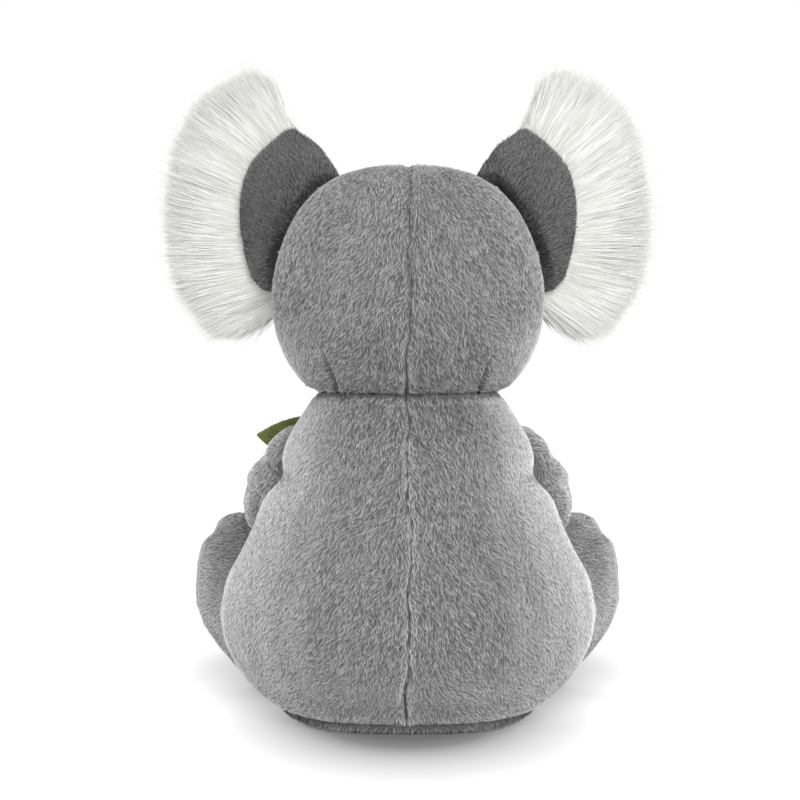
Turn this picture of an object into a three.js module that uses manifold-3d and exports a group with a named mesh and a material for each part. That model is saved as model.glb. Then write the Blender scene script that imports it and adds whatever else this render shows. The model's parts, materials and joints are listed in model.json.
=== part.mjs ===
// A seated plush koala, in millimetres. The koala faces -Y, +Z is up and +X is its own left.
// The origin is the middle of the flat seat that it sits on.
//
// It is cut and sewn as a soft toy is: covers of pile fabric in separate panels, loose fibre
// stuffing inside them, a pellet pouch low in the seat, shafted eyes held by washers, and
// limbs and ears that are sewn on and bend at their seams.
import * as THREE from "three";
import { mergeVertices } from "three/addons/utils/BufferGeometryUtils.js";
import Module from "manifold-3d";

const wasm = await Module();
wasm.setup();

// Fabric and seams
const coverThickness = 4; // backing cloth with its pile
const seamGap = 0.3; // clearance between pieces that are sewn or laid against each other
const cutOverrun = 20; // how far a cut runs past what it cuts
const weld = 0.001; // points closer than this are one point

// Body: a pear that is flat where it sits
const bodyHeight = 137; // seat to neck seam
const bodyHalfWidth = 79.5;
const bodyBackDepth = 63;
const bodyFrontDepth = 62;
const bodySquareness = 2.15; // 2 is a plain ellipse
const seatSeamHeight = 6.5;
const sideSeamForward = 10; // the side seams lie this far in front of the middle
const neckHalfWidth = 38.5;
const neckBackDepth = 31;
const neckFrontDepth = 30;

// Head, measured from the neck seam up
const headHeight = 95.5;
const headHalfWidth = 57.5;
const headBackDepth = 51;
const headFrontDepth = 48;
const headSquareness = 2.1;
const muzzleReach = 13;
const muzzleHeight = 33;
const muzzleSpread = 19;
const crownSeamForward = 6; // back panels meet the face panel this far in front of the middle

// Eyes, their washers and the nose
const eyeRadius = 6.4;
const eyeBulge = 4.6;
const eyeShaftRadius = 1.6;
const eyeShaftLength = 13;
const eyeHeight = 56;
const eyeSplay = 31; // degrees round from straight ahead
const washerRadius = 7;
const washerThickness = 1.6;
const washerDepth = 6; // from the eye's seat to the washer's outer face
const noseHalfWidth = 12.5;
const noseHalfHeight = 16;
const noseBulge = 10;
const noseHeight = 41;

// Ears: a grey cup behind, long white fur in front
const earOut = 46.7;
const earUp = 211;
const earBack = 6; // the middle of the cup lies this far behind the head's middle
const earRimRadius = 35;
const earCupDepth = 13; // how far the rim curls forward
const earThickness = 5.5;
const earFurRadius = 66;
const earFurThickness = 16;
const earFurTipThickness = 5;
const earFurForward = 3; // the tips lie this far in front of the rim
const earSeamOut = 51; // a point on the seam that the ear folds about
const earSeamForward = 5;
const earSeamUp = 203.5;
const earSeamLean = 28; // degrees from upright, top inwards
const earFoldForward = 20;
const earFoldBack = 12;

// Arms, bent round the belly
const armRadius = 16;
const shoulderOut = 41;
const shoulderBack = 4;
const shoulderUp = 119;
const upperArmOut = 49.5;
const upperArmForward = 7;
const upperArmUp = 102;
const elbowOut = 55.5;
const elbowForward = 25;
const elbowUp = 87.5;
const wristOut = 45;
const wristForward = 54;
const wristUp = 83;
const pawOut = 24;
const pawForward = 72;
const pawUp = 87;
const armHingeOut = 48; // the back of the shoulder seam, which the arm swings about
const armHingeBack = 7;
const armHingeUp = 112;
const armHingeLean = 35; // degrees from upright, top inwards
const armSwing = 30;

// Legs, splayed forward with the feet upright
const legLength = 89;
const legSplay = 31; // degrees out from straight ahead
const hipOut = 32;
const hipForward = 16;
const footHalfWidth = 25;
const footHalfHeight = 39.5;
const footRestDepth = 0.5; // the heel is pressed flat by this much
const footLean = 4; // degrees that the toes lean outwards
const toeGrooveDepth = 2.8;
const toeGrooveAngle = 30; // degrees each side of straight up
const toeGrooveWidth = 8; // degrees
const legCreaseForward = 60; // the crease that the leg lifts about, at the top of the thigh
const legCreaseUp = 50;
const legLift = 15;

// Pellet pouch in the seat
const pouchHalfWidth = 42;
const pouchHalfDepth = 34;
const pouchHalfHeight = 11;
const pouchUp = 22;
const pouchSlitWidth = 11;

// Sprig of felt leaves, sewn into the left paw
const leafThickness = 2;
const stemRadius = 1.9;
const stemTopOut = 13;
const stemTopForward = 76;
const stemTopUp = 123;
const outerLeafLength = 49;
const outerLeafHalfWidth = 12;
const outerLeafRise = 5; // degrees up from level
const outerLeafTurn = 23; // degrees back from sideways
const outerLeafRoll = 66; // degrees from lying flat
const innerLeafLength = 35;
const innerLeafHalfWidth = 10.5;
const innerLeafRise = -18;
const innerLeafTurn = -6;
const innerLeafRoll = -64;
const tipLeafLength = 25;
const tipLeafHalfWidth = 7.5;
const tipLeafRoll = 80;

// Counts of facets
const bodySides = 24;
const bodyRings = 13;
const headSides = 24;
const headRings = 11;
const armSides = 12;
const armRings = 11;
const legSides = 24;
const legRings = 10;
const smallSides = 16;
const smallRings = 8;
const domeSteps = 4;

// Outlines as shares of the sizes above: half width, depth, height
const bodyOutlineShares = [
  [0.5, 0.5, 0],
  [0.68, 0.68, 0.022],
  [0.79, 0.8, 0.075],
  [0.91, 0.93, 0.155],
  [0.98, 1, 0.24],
  [1, 1, 0.33],
  [0.965, 0.97, 0.43],
  [0.88, 0.9, 0.52],
  [0.815, 0.84, 0.6],
  [0.77, 0.78, 0.68],
  [0.71, 0.72, 0.77],
  [0.63, 0.63, 0.87],
  [0.545, 0.54, 0.95],
];
const headOutlineShares = [
  [0.79, 0.77, 0.05],
  [0.92, 0.9, 0.17],
  [0.99, 0.98, 0.31],
  [1, 1, 0.46],
  [0.95, 0.955, 0.61],
  [0.86, 0.87, 0.745],
  [0.73, 0.74, 0.855],
  [0.53, 0.54, 0.945],
  [0.28, 0.285, 0.988],
];
// Place along the arm and its radius there
const armRadiusShares = [
  [0.02, 0.45],
  [0.1, 0.86],
  [0.24, 0.98],
  [0.42, 1],
  [0.6, 0.94],
  [0.74, 0.85],
  [0.88, 0.93],
  [0.955, 0.76],
  [0.99, 0.38],
];
// Place along the leg, half width and half height as shares of the foot's
const legOutlineShares = [
  [0.015, 0.4, 0.3],
  [0.1, 0.78, 0.56],
  [0.3, 0.9, 0.62],
  [0.5, 0.88, 0.63],
  [0.64, 0.92, 0.72],
  [0.74, 1, 0.92],
  [0.85, 1, 1],
  [0.94, 0.93, 0.95],
  [0.985, 0.74, 0.79],
];
// Place along the leg and the height of its middle as a share of the foot's half height
const legRiseShares = [
  [0, 0.62],
  [0.5, 0.66],
  [0.76, 0.97],
  [1, 1],
];
const ankleShare = 0.62; // the toe grooves start here
const toeShare = 0.78; // and are full from here
const heelNarrowingShare = 0.36; // how much the foot narrows towards its heel
const solePadShare = 0.925; // the sole is a panel of its own from here on
// Degrees up from straight out, then the rim's and the fur's reach from the ear's middle
const earOutlineShares = [
  [-172, 0.56, 0.29],
  [-148, 0.63, 0.33],
  [-124, 0.74, 0.39],
  [-105, 0.86, 0.455],
  [-92, 0.92, 0.5],
  [-80, 0.95, 0.66],
  [-68, 0.955, 0.86],
  [-54, 0.89, 0.975],
  [-42, 0.78, 0.94],
  [-28, 0.7, 0.92],
  [-12, 0.66, 0.88],
  [4, 0.655, 0.865],
  [20, 0.68, 0.885],
  [34, 0.735, 0.945],
  [48, 0.8, 0.995],
  [60, 0.84, 1],
  [72, 0.905, 1],
  [81, 0.98, 0.9],
  [88, 1.01, 0.56],
  [108, 0.835, 0.443],
  [135, 0.67, 0.355],
  [160, 0.59, 0.31],
];
const earRingShares = [0.34, 0.68, 1];
// Half outline of a leaf: along its length, and out from its vein
const leafOutlineShares = [
  [0.14, 0.52],
  [0.36, 0.95],
  [0.58, 0.93],
  [0.8, 0.58],
];
const stemSeatShare = 0.9; // how far along the arm the stem is sewn in
const outerLeafSeatShare = 0.7; // how far along the stem each leaf meets it
const innerLeafSeatShare = 0.66;

const radians = THREE.MathUtils.degToRad;

// Solids and meshes

function asSolid(geometry) {
  const bare = geometry.index ? geometry.toNonIndexed() : geometry.clone();
  bare.deleteAttribute("normal");
  bare.deleteAttribute("uv");
  const merged = mergeVertices(bare, weld);
  const corners = [];
  const index = merged.index.array;
  for (let i = 0; i < index.length; i += 3) {
    const [a, b, c] = [index[i], index[i + 1], index[i + 2]];
    if (a !== b && b !== c && c !== a) corners.push(a, b, c);
  }
  return new wasm.Manifold(
    new wasm.Mesh({
      numProp: 3,
      vertProperties: merged.attributes.position.array,
      triVerts: new Uint32Array(corners),
    }),
  );
}

function asGeometry(solid) {
  const mesh = solid.getMesh();
  return new THREE.BufferGeometry()
    .setAttribute("position", new THREE.BufferAttribute(mesh.vertProperties, 3))
    .setIndex(new THREE.BufferAttribute(mesh.triVerts, 1));
}

function signedVolume(points, index) {
  let sum = 0;
  for (let i = 0; i < index.length; i += 3) {
    const [a, b, c] = [points[index[i]], points[index[i + 1]], points[index[i + 2]]];
    sum += a.dot(new THREE.Vector3().crossVectors(b, c));
  }
  return sum;
}

// Joins rings of points into one closed surface that faces out. A pole closes each end.
function loft(rings, lowPole, highPole) {
  const sides = rings[0].length;
  const points = [...rings.flat(), lowPole, highPole];
  const low = points.length - 2;
  const high = points.length - 1;
  const index = [];
  for (let ring = 0; ring < rings.length - 1; ring += 1) {
    for (let side = 0; side < sides; side += 1) {
      const a = ring * sides + side;
      const b = ring * sides + ((side + 1) % sides);
      index.push(a, b, b + sides, a, b + sides, a + sides);
    }
  }
  const top = (rings.length - 1) * sides;
  for (let side = 0; side < sides; side += 1) {
    const next = (side + 1) % sides;
    index.push(low, next, side, high, top + side, top + next);
  }
  const geometry = new THREE.BufferGeometry().setFromPoints(points);
  geometry.setIndex(signedVolume(points, index) < 0 ? index.reverse() : index);
  return geometry;
}

// The same surface moved inwards along its normals, or outwards where distance is negative.
function inset(geometry, distance) {
  const moved = geometry.clone();
  moved.computeVertexNormals();
  const place = moved.attributes.position;
  const normal = moved.attributes.normal;
  for (let i = 0; i < place.count; i += 1) {
    place.setXYZ(
      i,
      place.getX(i) - normal.getX(i) * distance,
      place.getY(i) - normal.getY(i) * distance,
      place.getZ(i) - normal.getZ(i) * distance,
    );
  }
  return moved;
}

// Rows of shares as evenly spread stations on one smooth line.
function stations(shares, count) {
  const points = shares.map((row) => new THREE.Vector3(...row));
  return new THREE.CatmullRomCurve3(points, false, "centripetal").getPoints(count - 1);
}

function shareAt(table, at) {
  const next = table.findIndex((row) => row[0] >= at && row !== table[0]);
  const [from, low] = table[next - 1];
  const [to, high] = table[next];
  return THREE.MathUtils.lerp(low, high, THREE.MathUtils.smoothstep(at, from, to));
}

// Points spread evenly round a full turn, each made from its angle in radians.
function around(sides, pointAt) {
  return Array.from({ length: sides }, (_, side) => pointAt((2 * Math.PI * side) / sides));
}

// Cuts away from a moving piece what its fixed neighbour needs at each of these angles.
function clearOf(piece, neighbour, joint, angles) {
  return angles.reduce((left, angle) => {
    const matrix = new THREE.Matrix4()
      .makeTranslation(joint.point)
      .multiply(new THREE.Matrix4().makeRotationAxis(joint.axis, radians(-angle)))
      .multiply(new THREE.Matrix4().makeTranslation(joint.point.clone().negate()));
    return left.subtract(neighbour.transform(matrix.elements));
  }, piece);
}

const above = (solid, z) => solid.trimByPlane([0, 0, 1], z);
const below = (solid, z) => solid.trimByPlane([0, 0, -1], -z);
const behind = (solid, y) => solid.trimByPlane([0, 1, 0], y);
const ahead = (solid, y) => solid.trimByPlane([0, -1, 0], -y);
const leftOf = (solid, x) => solid.trimByPlane([1, 0, 0], x);
const rightOf = (solid, x) => solid.trimByPlane([-1, 0, 0], -x);

// Body and head forms

// One point of an upright form's outline, at an angle counter-clockwise from +X.
function roundPoint(angle, halfWidth, backDepth, frontDepth, squareness) {
  const across = Math.cos(angle);
  const along = Math.sin(angle);
  const depth = along > 0 ? backDepth : frontDepth;
  return new THREE.Vector3(
    halfWidth * Math.sign(across) * Math.abs(across) ** (2 / squareness),
    depth * Math.sign(along) * Math.abs(along) ** (2 / squareness),
    0,
  );
}

function neckRing(sides, z) {
  return around(sides, (angle) =>
    roundPoint(angle, neckHalfWidth, neckBackDepth, neckFrontDepth, headSquareness).setZ(z),
  );
}

function bodyForm() {
  const rings = stations(bodyOutlineShares, bodyRings).map((share) =>
    around(bodySides, (angle) =>
      roundPoint(
        angle,
        bodyHalfWidth * share.x,
        bodyBackDepth * share.y,
        bodyFrontDepth * share.y,
        bodySquareness,
      ).setZ(bodyHeight * share.z),
    ),
  );
  const top = bodyHeight + cutOverrun;
  rings.push(neckRing(bodySides, bodyHeight), neckRing(bodySides, top));
  return loft(rings, new THREE.Vector3(0, 0, 0), new THREE.Vector3(0, 0, top));
}

function headForm() {
  const bottom = bodyHeight - cutOverrun;
  const rings = [neckRing(headSides, bottom), neckRing(headSides, bodyHeight)];
  for (const share of stations(headOutlineShares, headRings)) {
    const rise = headHeight * share.z;
    const level = Math.exp(-(((rise - muzzleHeight) / muzzleSpread) ** 2));
    rings.push(
      around(headSides, (angle) => {
        const point = roundPoint(
          angle,
          headHalfWidth * share.x,
          headBackDepth * share.y,
          headFrontDepth * share.y,
          headSquareness,
        ).setZ(bodyHeight + rise);
        const facing = Math.max(0, -Math.sin(angle)) ** 5;
        point.y -= muzzleReach * facing * level;
        return point;
      }),
    );
  }
  return loft(
    rings,
    new THREE.Vector3(0, 0, bottom),
    new THREE.Vector3(0, 0, bodyHeight + headHeight),
  );
}

const bodySurface = bodyForm();
const headSurface = headForm();
const bodyClear = below(asSolid(inset(bodySurface, -seamGap)), bodyHeight);
const headClear = asSolid(inset(headSurface, -seamGap));

function pelletPouch(clearance) {
  const geometry = new THREE.SphereGeometry(1, smallSides, smallRings);
  geometry.rotateX(Math.PI / 2);
  geometry.scale(
    pouchHalfWidth + clearance,
    pouchHalfDepth + clearance,
    pouchHalfHeight + clearance,
  );
  geometry.translate(0, 0, pouchUp);
  return asSolid(geometry);
}

// The slit in the stuffing through which the pouch is pushed.
function pouchSlit() {
  const slit = new THREE.BoxGeometry(pouchSlitWidth, pouchSlitWidth, pouchUp);
  slit.translate(0, 0, pouchUp / 2);
  return asSolid(slit);
}

function bodyPieces() {
  const whole = below(asSolid(bodySurface), bodyHeight - seamGap / 2);
  const cover = whole.subtract(asSolid(inset(bodySurface, coverThickness)));
  const wall = above(cover, seatSeamHeight + seamGap);
  const back = behind(wall, -sideSeamForward + seamGap / 2);
  const stuffing = below(
    asSolid(inset(bodySurface, coverThickness + seamGap)),
    bodyHeight - seamGap / 2,
  );
  return {
    back_panel_left: leftOf(back, seamGap / 2),
    back_panel_right: rightOf(back, -seamGap / 2),
    belly_panel: ahead(wall, -sideSeamForward - seamGap / 2),
    seat_panel: below(cover, seatSeamHeight),
    body_stuffing: stuffing.subtract(pelletPouch(seamGap)).subtract(pouchSlit()),
    pellet_pouch: pelletPouch(0),
  };
}

// Face

// The head's surface met by looking level at its axis, some degrees round from ahead.
function headSeat(degrees, height) {
  const way = new THREE.Vector3(-Math.sin(radians(degrees)), Math.cos(radians(degrees)), 0);
  const start = way.clone().multiplyScalar(-headHalfWidth - headFrontDepth);
  const ray = new THREE.Raycaster(start.setZ(bodyHeight + height), way);
  return ray.intersectObject(new THREE.Mesh(headSurface))[0].point;
}

// A dome on a shaft, from the top of the dome to the end of the shaft.
function eyeProfile(clearance) {
  const dome = Array.from({ length: domeSteps }, (_, step) => {
    const angle = (Math.PI / 2) * (1 - step / (domeSteps - 1));
    const radius = step ? (eyeRadius + clearance) * Math.cos(angle) : 0;
    return new THREE.Vector2(radius, seamGap + (eyeBulge + clearance) * Math.sin(angle));
  });
  return [
    ...dome,
    new THREE.Vector2(eyeShaftRadius + clearance, seamGap),
    new THREE.Vector2(eyeShaftRadius + clearance, -eyeShaftLength - clearance),
    new THREE.Vector2(0, -eyeShaftLength - clearance),
  ];
}

// A flat ring round the shaft. With a clearance it is the solid space that the ring needs.
function washerProfile(clearance) {
  const bore = clearance ? 0 : eyeShaftRadius + seamGap;
  const outer = washerRadius + clearance;
  const top = -washerDepth + clearance;
  const bottom = -washerDepth - washerThickness - clearance;
  return [
    new THREE.Vector2(bore, top),
    new THREE.Vector2(outer, top),
    new THREE.Vector2(outer, bottom),
    new THREE.Vector2(bore, bottom),
    ...(clearance ? [] : [new THREE.Vector2(bore, top)]),
  ];
}

// A turned piece whose axis points out of the face at the eye of one side.
function onFace(profile, side) {
  const seat = headSeat(side * eyeSplay, eyeHeight);
  const geometry = new THREE.LatheGeometry([...profile].reverse(), smallSides);
  geometry.rotateZ(Math.PI + radians(side * eyeSplay));
  geometry.translate(seat.x, seat.y, seat.z);
  return asSolid(geometry);
}

function nosePiece() {
  const seat = headSeat(0, noseHeight);
  const geometry = new THREE.SphereGeometry(1, smallSides, smallRings);
  geometry.scale(noseHalfWidth, noseBulge, noseHalfHeight);
  geometry.translate(seat.x, seat.y, seat.z);
  return asSolid(geometry).subtract(headClear);
}

function headPieces() {
  const whole = above(asSolid(headSurface), bodyHeight + seamGap / 2);
  const cover = whole.subtract(asSolid(inset(headSurface, coverThickness)));
  const back = behind(cover, -crownSeamForward + seamGap / 2);
  const stuffing = above(
    asSolid(inset(headSurface, coverThickness + seamGap)),
    bodyHeight + seamGap / 2,
  );
  const eyeSpaces = [1, -1].flatMap((side) => [
    onFace(eyeProfile(seamGap), side),
    onFace(washerProfile(seamGap), side),
  ]);
  const cleared = (solid) => eyeSpaces.reduce((left, space) => left.subtract(space), solid);
  return {
    head_back_left: leftOf(back, seamGap / 2),
    head_back_right: rightOf(back, -seamGap / 2),
    face_panel: cleared(ahead(cover, -crownSeamForward - seamGap / 2)),
    head_stuffing: cleared(stuffing),
    nose: nosePiece(),
    eye_left: onFace(eyeProfile(0), 1),
    eye_right: onFace(eyeProfile(0), -1),
    eye_washer_left: onFace(washerProfile(0), 1),
    eye_washer_right: onFace(washerProfile(0), -1),
  };
}

// Ears, drawn for the left side

const earJoint = {
  point: new THREE.Vector3(earSeamOut, -earSeamForward, earSeamUp),
  axis: new THREE.Vector3(
    Math.sin(radians(earSeamLean)),
    0,
    -Math.cos(radians(earSeamLean)),
  ),
};

// A ring of the ear, at one share of the way to its rim, some way behind the cup's surface.
function earRing(share, behindCup) {
  return earOutlineShares.map(([degrees, rim]) => {
    const radius = earRimRadius * rim * share;
    return new THREE.Vector3(
      earOut + radius * Math.cos(radians(degrees)),
      earBack - earCupDepth * share ** 2 + behindCup,
      earUp + radius * Math.sin(radians(degrees)),
    );
  });
}

// The ring of the fur's tips.
function furTipRing(behindCup) {
  return earOutlineShares.map(([degrees, rim, tip]) => {
    const radius = Math.max(earFurRadius * tip, earRimRadius * rim);
    return new THREE.Vector3(
      earOut + radius * Math.cos(radians(degrees)),
      earBack - earCupDepth - earFurForward + behindCup,
      earUp + radius * Math.sin(radians(degrees)),
    );
  });
}

const earMiddle = (behindCup) => new THREE.Vector3(earOut, earBack + behindCup, earUp);
const earFront = (share) => -earThickness * (1 - share ** 4 / 2);
const furBack = (share) => earFront(share) - seamGap;
const furFront = (share) =>
  furBack(share) - THREE.MathUtils.lerp(earFurThickness, earFurTipThickness, share ** 2 / 2);

function earPieces() {
  const cup = loft(
    [
      ...earRingShares.map((share) => earRing(share, 0)),
      ...earRingShares.toReversed().map((share) => earRing(share, earFront(share))),
    ],
    earMiddle(0),
    earMiddle(earFront(0)),
  );
  const fur = loft(
    [
      ...earRingShares.map((share) => earRing(share, furBack(share))),
      furTipRing(furBack(1)),
      furTipRing(furBack(1) - earFurTipThickness),
      ...earRingShares.toReversed().map((share) => earRing(share, furFront(share))),
    ],
    earMiddle(furBack(0)),
    earMiddle(furFront(0)),
  );
  const folds = [0, -earFoldBack, -earFoldBack / 2, earFoldForward / 2, earFoldForward];
  return {
    ear_back: clearOf(asSolid(cup), headClear, earJoint, folds),
    ear_fur: clearOf(asSolid(fur), headClear, earJoint, folds),
  };
}

// Arms, drawn for the left side

const armJoint = {
  point: new THREE.Vector3(armHingeOut, armHingeBack, armHingeUp),
  axis: new THREE.Vector3(
    -Math.sin(radians(armHingeLean)),
    0,
    Math.cos(radians(armHingeLean)),
  ),
};

const armLine = new THREE.CatmullRomCurve3([
  new THREE.Vector3(shoulderOut, shoulderBack, shoulderUp),
  new THREE.Vector3(upperArmOut, -upperArmForward, upperArmUp),
  new THREE.Vector3(elbowOut, -elbowForward, elbowUp),
  new THREE.Vector3(wristOut, -wristForward, wristUp),
  new THREE.Vector3(pawOut, -pawForward, pawUp),
]);

function armForm() {
  const radii = new THREE.SplineCurve(
    armRadiusShares.map(([along, share]) => new THREE.Vector2(along, share)),
  );
  const sideways = new THREE.Vector3();
  const upwards = new THREE.Vector3();
  const rings = radii.getPoints(armRings - 1).map(({ x: along, y: share }) => {
    const tangent = armLine.getTangentAt(along);
    sideways.crossVectors(tangent, new THREE.Vector3(0, 0, 1)).normalize();
    upwards.crossVectors(sideways, tangent);
    return around(armSides, (angle) =>
      armLine
        .getPointAt(along)
        .addScaledVector(sideways, armRadius * share * Math.cos(angle))
        .addScaledVector(upwards, armRadius * share * Math.sin(angle)),
    );
  });
  return loft(rings, armLine.getPointAt(0), armLine.getPointAt(1));
}

function armPieces() {
  const form = armForm();
  const swings = [0, armSwing / 3, (2 * armSwing) / 3, armSwing];
  const whole = clearOf(asSolid(form), bodyClear, armJoint, swings);
  const stuffing = asSolid(inset(form, coverThickness + seamGap));
  return {
    arm_cover: whole.subtract(asSolid(inset(form, coverThickness))),
    arm_stuffing: clearOf(stuffing, bodyClear, armJoint, swings),
  };
}

// Legs, drawn for the left side

const legWay = new THREE.Vector3(
  Math.sin(radians(legSplay)),
  -Math.cos(radians(legSplay)),
  0,
);
const legSide = new THREE.Vector3(-legWay.y, legWay.x, 0);
const legJoint = {
  point: new THREE.Vector3(hipOut, -legCreaseForward, legCreaseUp),
  axis: legSide.clone().negate(),
};

// The middle of the leg at a share of its length.
function legMiddle(along) {
  return new THREE.Vector3(hipOut, -hipForward, 0)
    .addScaledVector(legWay, legLength * along)
    .setZ(footHalfHeight * shareAt(legRiseShares, along) - footRestDepth);
}

// How deep the grooves between the toes are at an angle round the foot.
function toeGroove(degrees) {
  return [-1, 1].reduce((sum, way) => {
    const off = (degrees - 90 - way * toeGrooveAngle) / toeGrooveWidth;
    return sum + toeGrooveDepth * Math.exp(-(off ** 2));
  }, 0);
}

function legForm() {
  const rings = stations(legOutlineShares, legRings).map(({ x: along, y: wide, z: high }) => {
    const onFoot = THREE.MathUtils.smoothstep(along, ankleShare, toeShare);
    const middle = legMiddle(along);
    return around(legSides, (angle) => {
      const heel = 1 - heelNarrowingShare * onFoot * Math.max(0, -Math.sin(angle));
      const out = new THREE.Vector2(
        footHalfWidth * wide * heel * Math.cos(angle),
        footHalfHeight * high * Math.sin(angle),
      );
      out.setLength(out.length() - onFoot * toeGroove(THREE.MathUtils.radToDeg(angle)));
      out.x += out.y * onFoot * Math.tan(radians(footLean));
      return middle.clone().addScaledVector(legSide, out.x).setZ(middle.z + out.y);
    });
  });
  return loft(rings, legMiddle(0), legMiddle(1));
}

function legPieces() {
  const form = legForm();
  const lifts = [0, legLift / 2, legLift];
  const whole = clearOf(above(asSolid(form), 0), bodyClear, legJoint, lifts);
  const cover = whole.subtract(above(asSolid(inset(form, coverThickness)), coverThickness));
  const stuffing = above(
    asSolid(inset(form, coverThickness + seamGap)),
    coverThickness + seamGap,
  );
  const seam = legMiddle(solePadShare).dot(legWay);
  return {
    leg_cover: cover.trimByPlane(legWay.clone().negate().toArray(), -seam),
    sole_pad: cover.trimByPlane(legWay.toArray(), seam + seamGap),
    leg_stuffing: clearOf(stuffing, bodyClear, legJoint, lifts),
  };
}

// Sprig

function leafOutline(length, halfWidth) {
  const edge = leafOutlineShares.map(
    ([along, out]) => new THREE.Vector2(length * along, halfWidth * out),
  );
  const otherEdge = edge.map(({ x, y }) => new THREE.Vector2(x, -y)).reverse();
  return new THREE.Shape()
    .moveTo(0, 0)
    .splineThru([...edge, new THREE.Vector2(length, 0)])
    .splineThru([...otherEdge, new THREE.Vector2(0, 0)]);
}

// A flat felt leaf from its base, pointing one way, rolled about its vein.
function leafPiece(length, halfWidth, base, way, roll) {
  const geometry = new THREE.ExtrudeGeometry(leafOutline(length, halfWidth), {
    depth: leafThickness,
    bevelEnabled: false,
    curveSegments: 3,
  });
  geometry.translate(0, 0, -leafThickness / 2);
  geometry.rotateX(radians(roll));
  geometry.applyQuaternion(
    new THREE.Quaternion().setFromUnitVectors(new THREE.Vector3(1, 0, 0), way),
  );
  geometry.translate(base.x, base.y, base.z);
  return asSolid(geometry);
}

// A unit direction to the left (1) or right (-1), raised and turned back by some degrees.
function sideways(side, rise, turn) {
  return new THREE.Vector3(
    side * Math.cos(radians(turn)) * Math.cos(radians(rise)),
    Math.sin(radians(turn)) * Math.cos(radians(rise)),
    Math.sin(radians(rise)),
  );
}

function sprigPieces() {
  const bottom = armLine.getPointAt(stemSeatShare);
  const top = new THREE.Vector3(stemTopOut, -stemTopForward, stemTopUp);
  const up = top.clone().sub(bottom).normalize();
  const stem = new THREE.ExtrudeGeometry(
    new THREE.Shape().absarc(0, 0, stemRadius, 0, 2 * Math.PI),
    { steps: 1, curveSegments: 4, extrudePath: new THREE.LineCurve3(bottom, top) },
  );
  const reach = stemRadius + seamGap + leafThickness / 2;
  const seat = (share, side) =>
    bottom.clone().lerp(top, share).add(new THREE.Vector3(side * reach, 0, 0));
  return {
    sprig_stem: asSolid(stem).subtract(asSolid(inset(armForm(), -seamGap))),
    leaf_outer: leafPiece(
      outerLeafLength,
      outerLeafHalfWidth,
      seat(outerLeafSeatShare, 1),
      sideways(1, outerLeafRise, outerLeafTurn),
      outerLeafRoll,
    ),
    leaf_inner: leafPiece(
      innerLeafLength,
      innerLeafHalfWidth,
      seat(innerLeafSeatShare, -1),
      sideways(-1, innerLeafRise, innerLeafTurn),
      innerLeafRoll,
    ),
    leaf_tip: leafPiece(
      tipLeafLength,
      tipLeafHalfWidth,
      top.clone().addScaledVector(up, seamGap),
      up,
      tipLeafRoll,
    ),
  };
}

// Colours of the cloths and plastics

const cloth = (color) => new THREE.MeshStandardMaterial({ color, roughness: 0.95 });
const shiny = (color, roughness) => new THREE.MeshStandardMaterial({ color, roughness });

const materials = {
  plush: cloth("#9a9a9a"),
  belly_panel: cloth("#e6e5e0"),
  seat_panel: cloth("#7e7e7e"),
  body_stuffing: cloth("#f4f2ec"),
  pellet_pouch: cloth("#cfc8b8"),
  head_stuffing: cloth("#f4f2ec"),
  nose: cloth("#1d1c1d"),
  eye_left: shiny("#0b0908", 0.12),
  eye_right: shiny("#0b0908", 0.12),
  eye_washer_left: shiny("#dcdcd8", 0.5),
  eye_washer_right: shiny("#dcdcd8", 0.5),
  ear_back: cloth("#7d7d7d"),
  ear_fur: cloth("#ecece6"),
  arm_stuffing: cloth("#f4f2ec"),
  leg_stuffing: cloth("#f4f2ec"),
  sprig_stem: cloth("#6a5f3c"),
  leaf_outer: cloth("#7d8f45"),
  leaf_inner: cloth("#7d8f45"),
  leaf_tip: cloth("#7d8f45"),
};

function meshes(pieces, side) {
  return Object.entries(pieces).map(([name, solid]) => {
    const placed = side === "right" ? solid.mirror([1, 0, 0]) : solid;
    const mesh = new THREE.Mesh(asGeometry(placed), materials[name] ?? materials.plush);
    mesh.name = side ? `${name}_${side}` : name;
    return mesh;
  });
}

const koala = new THREE.Group();
koala.add(...meshes(bodyPieces()), ...meshes(headPieces()));
const pairs = [earPieces(), armPieces(), legPieces()];
for (const side of ["left", "right"]) {
  for (const pieces of pairs) koala.add(...meshes(pieces, side));
}
koala.add(...meshes(sprigPieces()));

export default koala;
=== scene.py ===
"""A seated plush koala with long white ear fur and a felt sprig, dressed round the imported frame.

The skins come from the frame's own solids, smoothed, cut into the panels they are sewn from,
and covered with short combed pile. Everything is in metres, in the frame of the solids, but
the size fields of the classes and what is named _mm are in millimetres.
"""

import json
import logging
import math
from dataclasses import dataclass
from enum import Enum
from typing import Callable, Sequence

import bmesh
import bpy
import numpy as np
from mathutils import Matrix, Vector
from mathutils.bvhtree import BVHTree
from mathutils.kdtree import KDTree

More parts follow.
